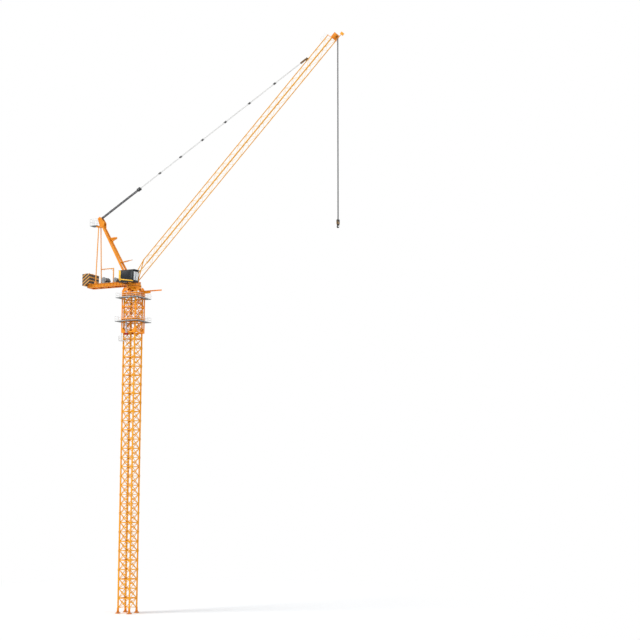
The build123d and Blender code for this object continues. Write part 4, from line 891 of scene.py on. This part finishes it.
# Head of the jib: a cross plate on the chord ends with two welded cheeks, open between them for the rope.
# Its two sheaves are cast and grooved, and a slim rail stands on the top chord for fitters.
head_front, axle_along = 5.212, 5.18
cross_plate_along, cross_plate = chord_end + 0.006, (0.012, 0.176, 0.028)
cheek_line, cheek_thick = 0.0365, 0.03
cheek_along, cheek_rise = (chord_end + head_front) / 2 + 0.005, 0.013
cheek_size, cheek_rib = (0.09, cheek_thick, 0.058), (0.08, 0.004, 0.005)
tip_sheave, tip_sheave_width, tip_sheave_hub, tip_sheave_line = 0.026, 0.009, 0.0053, 0.013
tip_axle_reach, tip_axle_radius = 0.05, 0.0055
lamp_arm_radius, cover_radius, cover_thick, head_brace_radius = 0.006, 0.012, 0.0035, 0.0032
tip_rail_posts, tip_rail_height, tip_rail_radius = (4.98, 5.045, 5.11), 0.055, 0.0013
axle_at = jib_at(axle_along, 0, 0)
bm = bmesh.new()
block(bm, jib_at(cross_plate_along, 0, 0), cross_plate, jib_turn, edge=0.001)
for side in (-1, 1):
    block(bm, jib_at(cheek_along, side * cheek_line, cheek_rise), cheek_size, jib_turn, edge=0.003)
pin(bm, axle_at, tip_axle_reach, tip_axle_radius, 20)
bar(bm, jib_at(cross_plate_along, chord_line, 0), jib_at(head_front + 0.002, chord_line, 0),
    lamp_arm_radius, 12)
jib_cheeks = piece(bm, "jib_head_cheeks", orange_paint, "jib")
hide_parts("jib_head")
bm = bmesh.new()
for side in (-1, 1):
    sheave(bm, axle_at + crosswise * side * tip_sheave_line, tip_sheave, tip_sheave_width, tip_sheave_hub)
tip_wheels = piece(bm, "tip_rope_sheaves", ring_steel, "jib")
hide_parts("tip_sheaves")
bm = bmesh.new()
cheek_face = cheek_line + cheek_thick / 2
for side in (-1, 1):
    cover = jib_at(axle_along, side * (cheek_face - 0.0005), 0)
    bar(bm, cover, cover + crosswise * side * cover_thick, cover_radius, 24)
    for rise in (-0.009, 0.035):
        block(bm, jib_at(cheek_along, side * cheek_face, rise), cheek_rib, jib_turn, edge=0.0008)
    brace_top = jib_at(chord_end - 0.01, side * 0.004, top_chord - 0.003)
    bar(bm, brace_top, jib_at(cross_plate_along, side * 0.07, 0.012), head_brace_radius, 8)
piece(bm, "jib_head_stiffeners", orange_paint, "jib")
bm = bmesh.new()
rail_line = [jib_at(along, 0, top_chord + 0.006) for along in tip_rail_posts]
rail_rise = above_jib * tip_rail_height
for foot in rail_line:
    bar(bm, foot, foot + rail_rise, tip_rail_radius, 6)
for share in (0.5, 1.0):
    bar(bm, rail_line[0] + rail_rise * share, rail_line[-1] + rail_rise * share, tip_rail_radius, 6)
piece(bm, "jib_tip_rail", rail_paint, "jib")

# Warning lamp: an amber moulded box on a short arm beside the head.
# Ribs are moulded round its lens.
lamp_along, lamp_across = 5.268, 0.09
lens_ribs, lens_rib_pitch, lens_rib_size = 5, 0.008, (0.0026, 0.0412, 0.0452)
amber, tree, shader, place = blank("amber lamp plastic", 0.28)
shader.inputs["Specular IOR Level"].default_value = 0.2
moulded = clouded(tree, noise(tree, place, 40.0, 3.0), (0.82, 0.34, 0.018, 1.0), (0.90, 0.44, 0.045, 1.0))
tree.links.new(moulded, shader.inputs["Base Color"])
roughen(tree, shader, place, 200.0, 0.0004, 0.15)
dress(amber, "tip_lamp")
bm = bmesh.new()
for rib in range(lens_ribs):
    at = jib_at(lamp_along + (rib - (lens_ribs - 1) / 2) * lens_rib_pitch, lamp_across, 0)
    block(bm, at, lens_rib_size, jib_turn, edge=0.0006)
piece(bm, "lamp_ribs", amber, "jib")

# Rope guide: a small forged yoke that hangs on the tip axle and steadies the two falls.
# The falls are wire rope, taut from the guide down to the hook block.
rope_x, rope_top = axle_at.x + 0.026, axle_at.z - 0.044
block_top = 6.124
fall_low = block_top + 0.0003
fall_half, fall_radius = 0.013, 0.0054
dress(orange_paint, "rope_guide")
hoist_wire = wire("hoist wire rope", 0.42, 0.6, (0.0, 0.7, 0.0), {"Scale": 150.0, "Distortion": 0.4}, 0.0006,
                  (0.14, 0.142, 0.145, 1.0), (0.18, 0.182, 0.185, 1.0), bands="Z")
bm = bmesh.new()
for side in (-1, 1):
    bar(bm, (rope_x, side * fall_half, fall_low), (rope_x, side * fall_half, rope_top), fall_radius, 12)
falls = piece(bm, "hoist_rope_falls", hoist_wire, "hoist_line")
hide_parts("hoist_rope")
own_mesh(falls)

# Hook block: two welded cheek plates bolted over spacers, painted dark above and tan below.
# A tan sheave turns between them on a bolt.
block_height, tan_below = 0.076, 6.083
cheek_out, bolt_y, bolt_z = 0.0155, 0.02, 0.029
axle_washer, axle_nut = (0.0, 0.003, 0.0105, 24), (0.003, 0.006, 0.006, 6)
half_sheave = [(-0.0072, 0.0), (-0.0072, 0.0245), (-0.0055, 0.0262), (-0.0018, 0.0238)]
sheave_rise = 0.006
block_middle = Vector((rope_x, 0, block_top - block_height / 2))
block_dark, block_worn = (0.02, 0.02, 0.021, 1.0), (0.035, 0.035, 0.036, 1.0)
block_paint = painted_steel("block dark paint", block_dark, block_worn, dust=0.25)
tan_paint = painted_steel("sheave tan paint", (0.24, 0.15, 0.075, 1.0), (0.30, 0.20, 0.11, 1.0), dust=0.3)
cheek_paint = painted_steel("block two-colour paint", block_dark, block_worn, dust=0.25)
paint_below(cheek_paint, upright, tan_below, (0.27, 0.165, 0.08, 1.0))
dress(cheek_paint, "hook_block")
bm = bmesh.new()
for side in (-1, 1):
    outward = Vector((side, 0, 0))
    face = block_middle + outward * cheek_out
    for low, high, radius, sides in (axle_washer, axle_nut):
        bar(bm, face + outward * low, face + outward * high, radius, sides)
    for bolt_side, bolt_end in corners:
        at = face + Vector((0, bolt_side * bolt_y, bolt_end * bolt_z))
        bar(bm, at, at + outward * 0.0026, bolt_radius, 6)
piece(bm, "hook_block_bolts", galvanised, "hook_block")
bm = bmesh.new()
profile = half_sheave + [(-along, reach) for along, reach in reversed(half_sheave)]
turned(bm, profile, block_middle + upright * sheave_rise, (1, 0, 0), 40)
piece(bm, "hook_block_sheave", tan_paint, "hook_block")

# Hook: forged in one piece with a broad collar and painted dark, turning on its shank.
# A sprung latch closes the throat.
bowl_middle, bowl_radius = Vector((rope_x, 0, 6.0127)), 0.0145
shank_low, collar_low, shank_top = 6.028, 6.032, 6.0472
shank_radius, collar_radius = 0.0085, 0.021
bowl_start, bowl_step, bowl_steps, bowl_round = 95, 10, 26, 0.3
bowl_thin, bowl_swell, bowl_end = 0.0055, 0.004, 0.0038
latch_top, latch_tip = bowl_middle + Vector((0.0045, 0, 0.0175)), bowl_middle + Vector((0.0155, 0, -0.002))
latch_half, latch_narrowing = 0.0048, 0.55
bm = bmesh.new()
bar(bm, (rope_x, 0, shank_low), (rope_x, 0, shank_top), shank_radius, 20)
bar(bm, (rope_x, 0, collar_low), (rope_x, 0, shank_top), collar_radius, 24)
rings = []
for step in range(-1, bowl_steps + 2):
    turn = radians(bowl_start + min(max(step, -bowl_round), bowl_steps + bowl_round) * bowl_step)
    outward = Vector((cos(turn), 0, sin(turn)))
    matrix = Matrix((outward, crosswise, outward.cross(crosswise))).transposed().to_4x4()
    matrix.translation = bowl_middle + outward * bowl_radius
    rounded = not 0 <= step <= bowl_steps
    thick = bowl_end if rounded else bowl_thin + bowl_swell * sin(pi * step / bowl_steps)
    ring = bmesh.ops.create_circle(bm, cap_ends=rounded, segments=20, radius=thick, matrix=matrix)["verts"]
    rings.append(list(dict.fromkeys(edge for vert in ring for edge in vert.link_edges)))
for first, second in zip(rings, rings[1:]):
    bmesh.ops.bridge_loops(bm, edges=first + second)
forged_hook = piece(bm, "forged_hook", block_paint, "hook")
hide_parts("hook")
bm = bmesh.new()
for side in (-1, 1):
    shift = crosswise * side * latch_half
    bar(bm, latch_top + shift, latch_tip + shift * latch_narrowing, 0.0012, 8)
pin(bm, latch_tip, 0.0035, 0.0014, 8)
pin(bm, latch_top, 0.0066, 0.0016, 10)
piece(bm, "hook_latch", galvanised, "hook")

# Luffing rope: taut falls of wire rope between the head's sheaves and the luffing block.
# On the crane they shorten as the jib comes up; here they are drawn at one length.
anchor_at = jib_at(4.605, 0, 0.1595)
luff_way = (anchor_at - sheave_at).normalized()
luff_up = luff_way.cross(crosswise)
luff_length = (anchor_at - sheave_at).length


def luff_at(distance, across, up=0.0):
    """Point along the luffing line, measured from the head's sheaves."""
    return sheave_at + luff_way * distance + crosswise * across + luff_up * up


block_start, block_end = 0.85, 0.914
rope_start, rope_end = 0.029, block_start - 0.0003
row_rise, luff_rope_radius = 0.0085, 0.003
bm = bmesh.new()
for across in falls_across:
    for row in (-row_rise, row_rise):
        bar(bm, luff_at(rope_start, across, row), luff_at(rope_end, across, row), luff_rope_radius, 12)
luffing_falls = piece(bm, "luffing_rope_falls", wire_rope, None)
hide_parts("luffing_rope")
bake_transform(luffing_falls)

# Luffing block: a dark welded frame pinned to the end of the pendants.
# Its cast sheaves run on one axle with a nut at each end.
block_sheave, nut_line, nut_thick, nut_radius = 0.0255, 0.026, 0.004, 0.0095
dress(block_paint, "luffing_block")
block_axle = luff_at((block_start + block_end) / 2, 0)
bm = bmesh.new()
for wheel in (-1, 0, 1):
    at = block_axle + crosswise * wheel * fall_pitch
    sheave(bm, at, block_sheave, luff_sheave_width, luff_sheave_hub)
piece(bm, "luffing_block_sheaves", cast_iron, "jib")
bm = bmesh.new()
for side in (-1, 1):
    at = block_axle + crosswise * side * nut_line
    bar(bm, at, at + crosswise * side * nut_thick, nut_radius, 6)
piece(bm, "luffing_block_nuts", galvanised, "jib")

# Pendants: pale steel bars in pairs, joined end to end by dark links with pins.
# The last link is pinned to a lug that saddles the jib's top chord.
pendant_lengths, pendant_growth = 7, 1.035
link_length, link_line, link_plate = 0.022, 0.0155, (0.05, 0.004, 0.015)
lug_end, lug_length = luff_length + 0.02, 0.14
pendant_share = (lug_end - lug_length - block_end + link_length) / (pendant_growth ** pendant_lengths - 1)
link_pins, link_pin_radius = (0.005, 0.017), 0.0026
lug_pins, lug_pin_radius = (0.02, 0.125), 0.004
pendant_pin_reach = 0.0195
pendant_paint = painted_steel("pendant pale paint", (0.43, 0.43, 0.42, 1.0), (0.52, 0.52, 0.51, 1.0),
                              dust=0.15)
dress(pendant_paint, "pendants")
anchor_paint = painted_steel("anchor brown paint", (0.15, 0.085, 0.03, 1.0), (0.21, 0.125, 0.045, 1.0),
                             dust=0.2)
dress(block_paint, "pendant_links")
dress(anchor_paint, "pendant_anchor")
bm = bmesh.new()
plates = bmesh.new()
luff_turn = Matrix((luff_way, crosswise, luff_up)).transposed().to_4x4()
for joint in range(1, pendant_lengths):
    reached = block_end + pendant_share * (pendant_growth ** joint - 1)
    for side in (-1, 1):
        at = luff_at(reached - link_length / 2, side * link_line)
        block(plates, at, link_plate, luff_turn, edge=0.0012)
    for back in link_pins:
        pin(bm, luff_at(reached - back, 0), pendant_pin_reach, link_pin_radius, 10)
for back in lug_pins:
    pin(bm, luff_at(lug_end - back, 0), pendant_pin_reach, lug_pin_radius, 12)
piece(bm, "pendant_pins", galvanised, "jib")
piece(plates, "pendant_link_plates", block_paint, "jib")

# Floor: a plain pale sheet that takes the crane's shadow.
# It fades into the white background a few metres from the crane.
floor_radius, floor_drop = 120.0, 0.001
fade_start, fade_end = 1.5, 7.0
white = (1.0, 1.0, 1.0, 1.0)


def shown(tree):
    """One where the camera looks at a surface, also by way of metal or glass, and nought in other light."""
    ray = tree.nodes.new("ShaderNodeLightPath").outputs
    seen = reckon(tree, "MAXIMUM", ray["Is Camera Ray"], ray["Is Glossy Ray"])
    return reckon(tree, "MAXIMUM", seen, ray["Is Transmission Ray"])


bm = bmesh.new()
bmesh.ops.create_circle(bm, cap_ends=True, segments=64, radius=floor_radius)
floor_mesh = bpy.data.meshes.new("floor")
bm.to_mesh(floor_mesh)
bm.free()
floor = bpy.data.objects.new("floor", floor_mesh)
floor.location = (0, 0, -floor_drop)
bpy.context.collection.objects.link(floor)
material, tree, shader, place = blank("pale floor", 0.9)
shader.inputs["Base Color"].default_value = (0.92, 0.92, 0.92, 1.0)
far = add(tree, "ShaderNodeVectorMath", {0: place}, operation="LENGTH").outputs["Value"]
faded = add(tree, "ShaderNodeMapRange", {"Value": far, "From Min": fade_start, "From Max": fade_end},
            interpolation_type="SMOOTHSTEP").outputs["Result"]
share = reckon(tree, "MULTIPLY", faded, shown(tree))
glow = add(tree, "ShaderNodeEmission", {"Color": white, "Strength": 1.0}).outputs["Emission"]
both = add(tree, "ShaderNodeMixShader", {0: share, 1: shader.outputs["BSDF"], 2: glow}).outputs["Shader"]
tree.links.new(both, tree.nodes["Material Output"].inputs["Surface"])
floor_mesh.materials.append(material)

# Light: a broad soft key from the left of the camera and a weak fill from its right.
# A pale surround lights the shaded sides, and the camera sees it as white.
suns = (("key", (0.75, 0.75, -0.8), 2.3, 25), ("fill", (-0.9, 0.2, -0.35), 0.7, 40))
world = bpy.data.worlds.new("studio")
bpy.context.scene.world = world
world.use_nodes = True
tree = world.node_tree
surround = tree.nodes["Background"]
surround.inputs["Color"].default_value = (0.94, 0.97, 1.0, 1.0)
surround.inputs["Strength"].default_value = 0.62
backdrop = add(tree, "ShaderNodeBackground", {"Color": white, "Strength": 1.0}).outputs["Background"]
sides = {0: shown(tree), 1: surround.outputs["Background"], 2: backdrop}
both = add(tree, "ShaderNodeMixShader", sides).outputs["Shader"]
tree.links.new(both, tree.nodes["World Output"].inputs["Surface"])
for name, towards, energy, angle in suns:
    lamp = bpy.data.lights.new(name, "SUN")
    lamp.energy = energy
    lamp.angle = radians(angle)
    holder = bpy.data.objects.new(name, lamp)
    holder.rotation_euler = Vector(towards).to_track_quat("-Z", "Y").to_euler()
    bpy.context.collection.objects.link(holder)

# Camera: it stands low and far off to the jib's side and looks slightly up.
# Lens and place are those that lay the crane over the photograph.
camera = bpy.data.objects.new("camera", bpy.data.cameras.new("camera"))
camera.data.lens = 69.25
camera.data.sensor_width = 36.0
camera.data.clip_end = 400.0
camera.location = (11.274, -17.119, 2.098)
camera.rotation_euler = (radians(97.48), 0.0, radians(24.66))
bpy.context.collection.objects.link(camera)
scene = bpy.context.scene
scene.camera = camera
scene.view_settings.view_transform = "Standard"
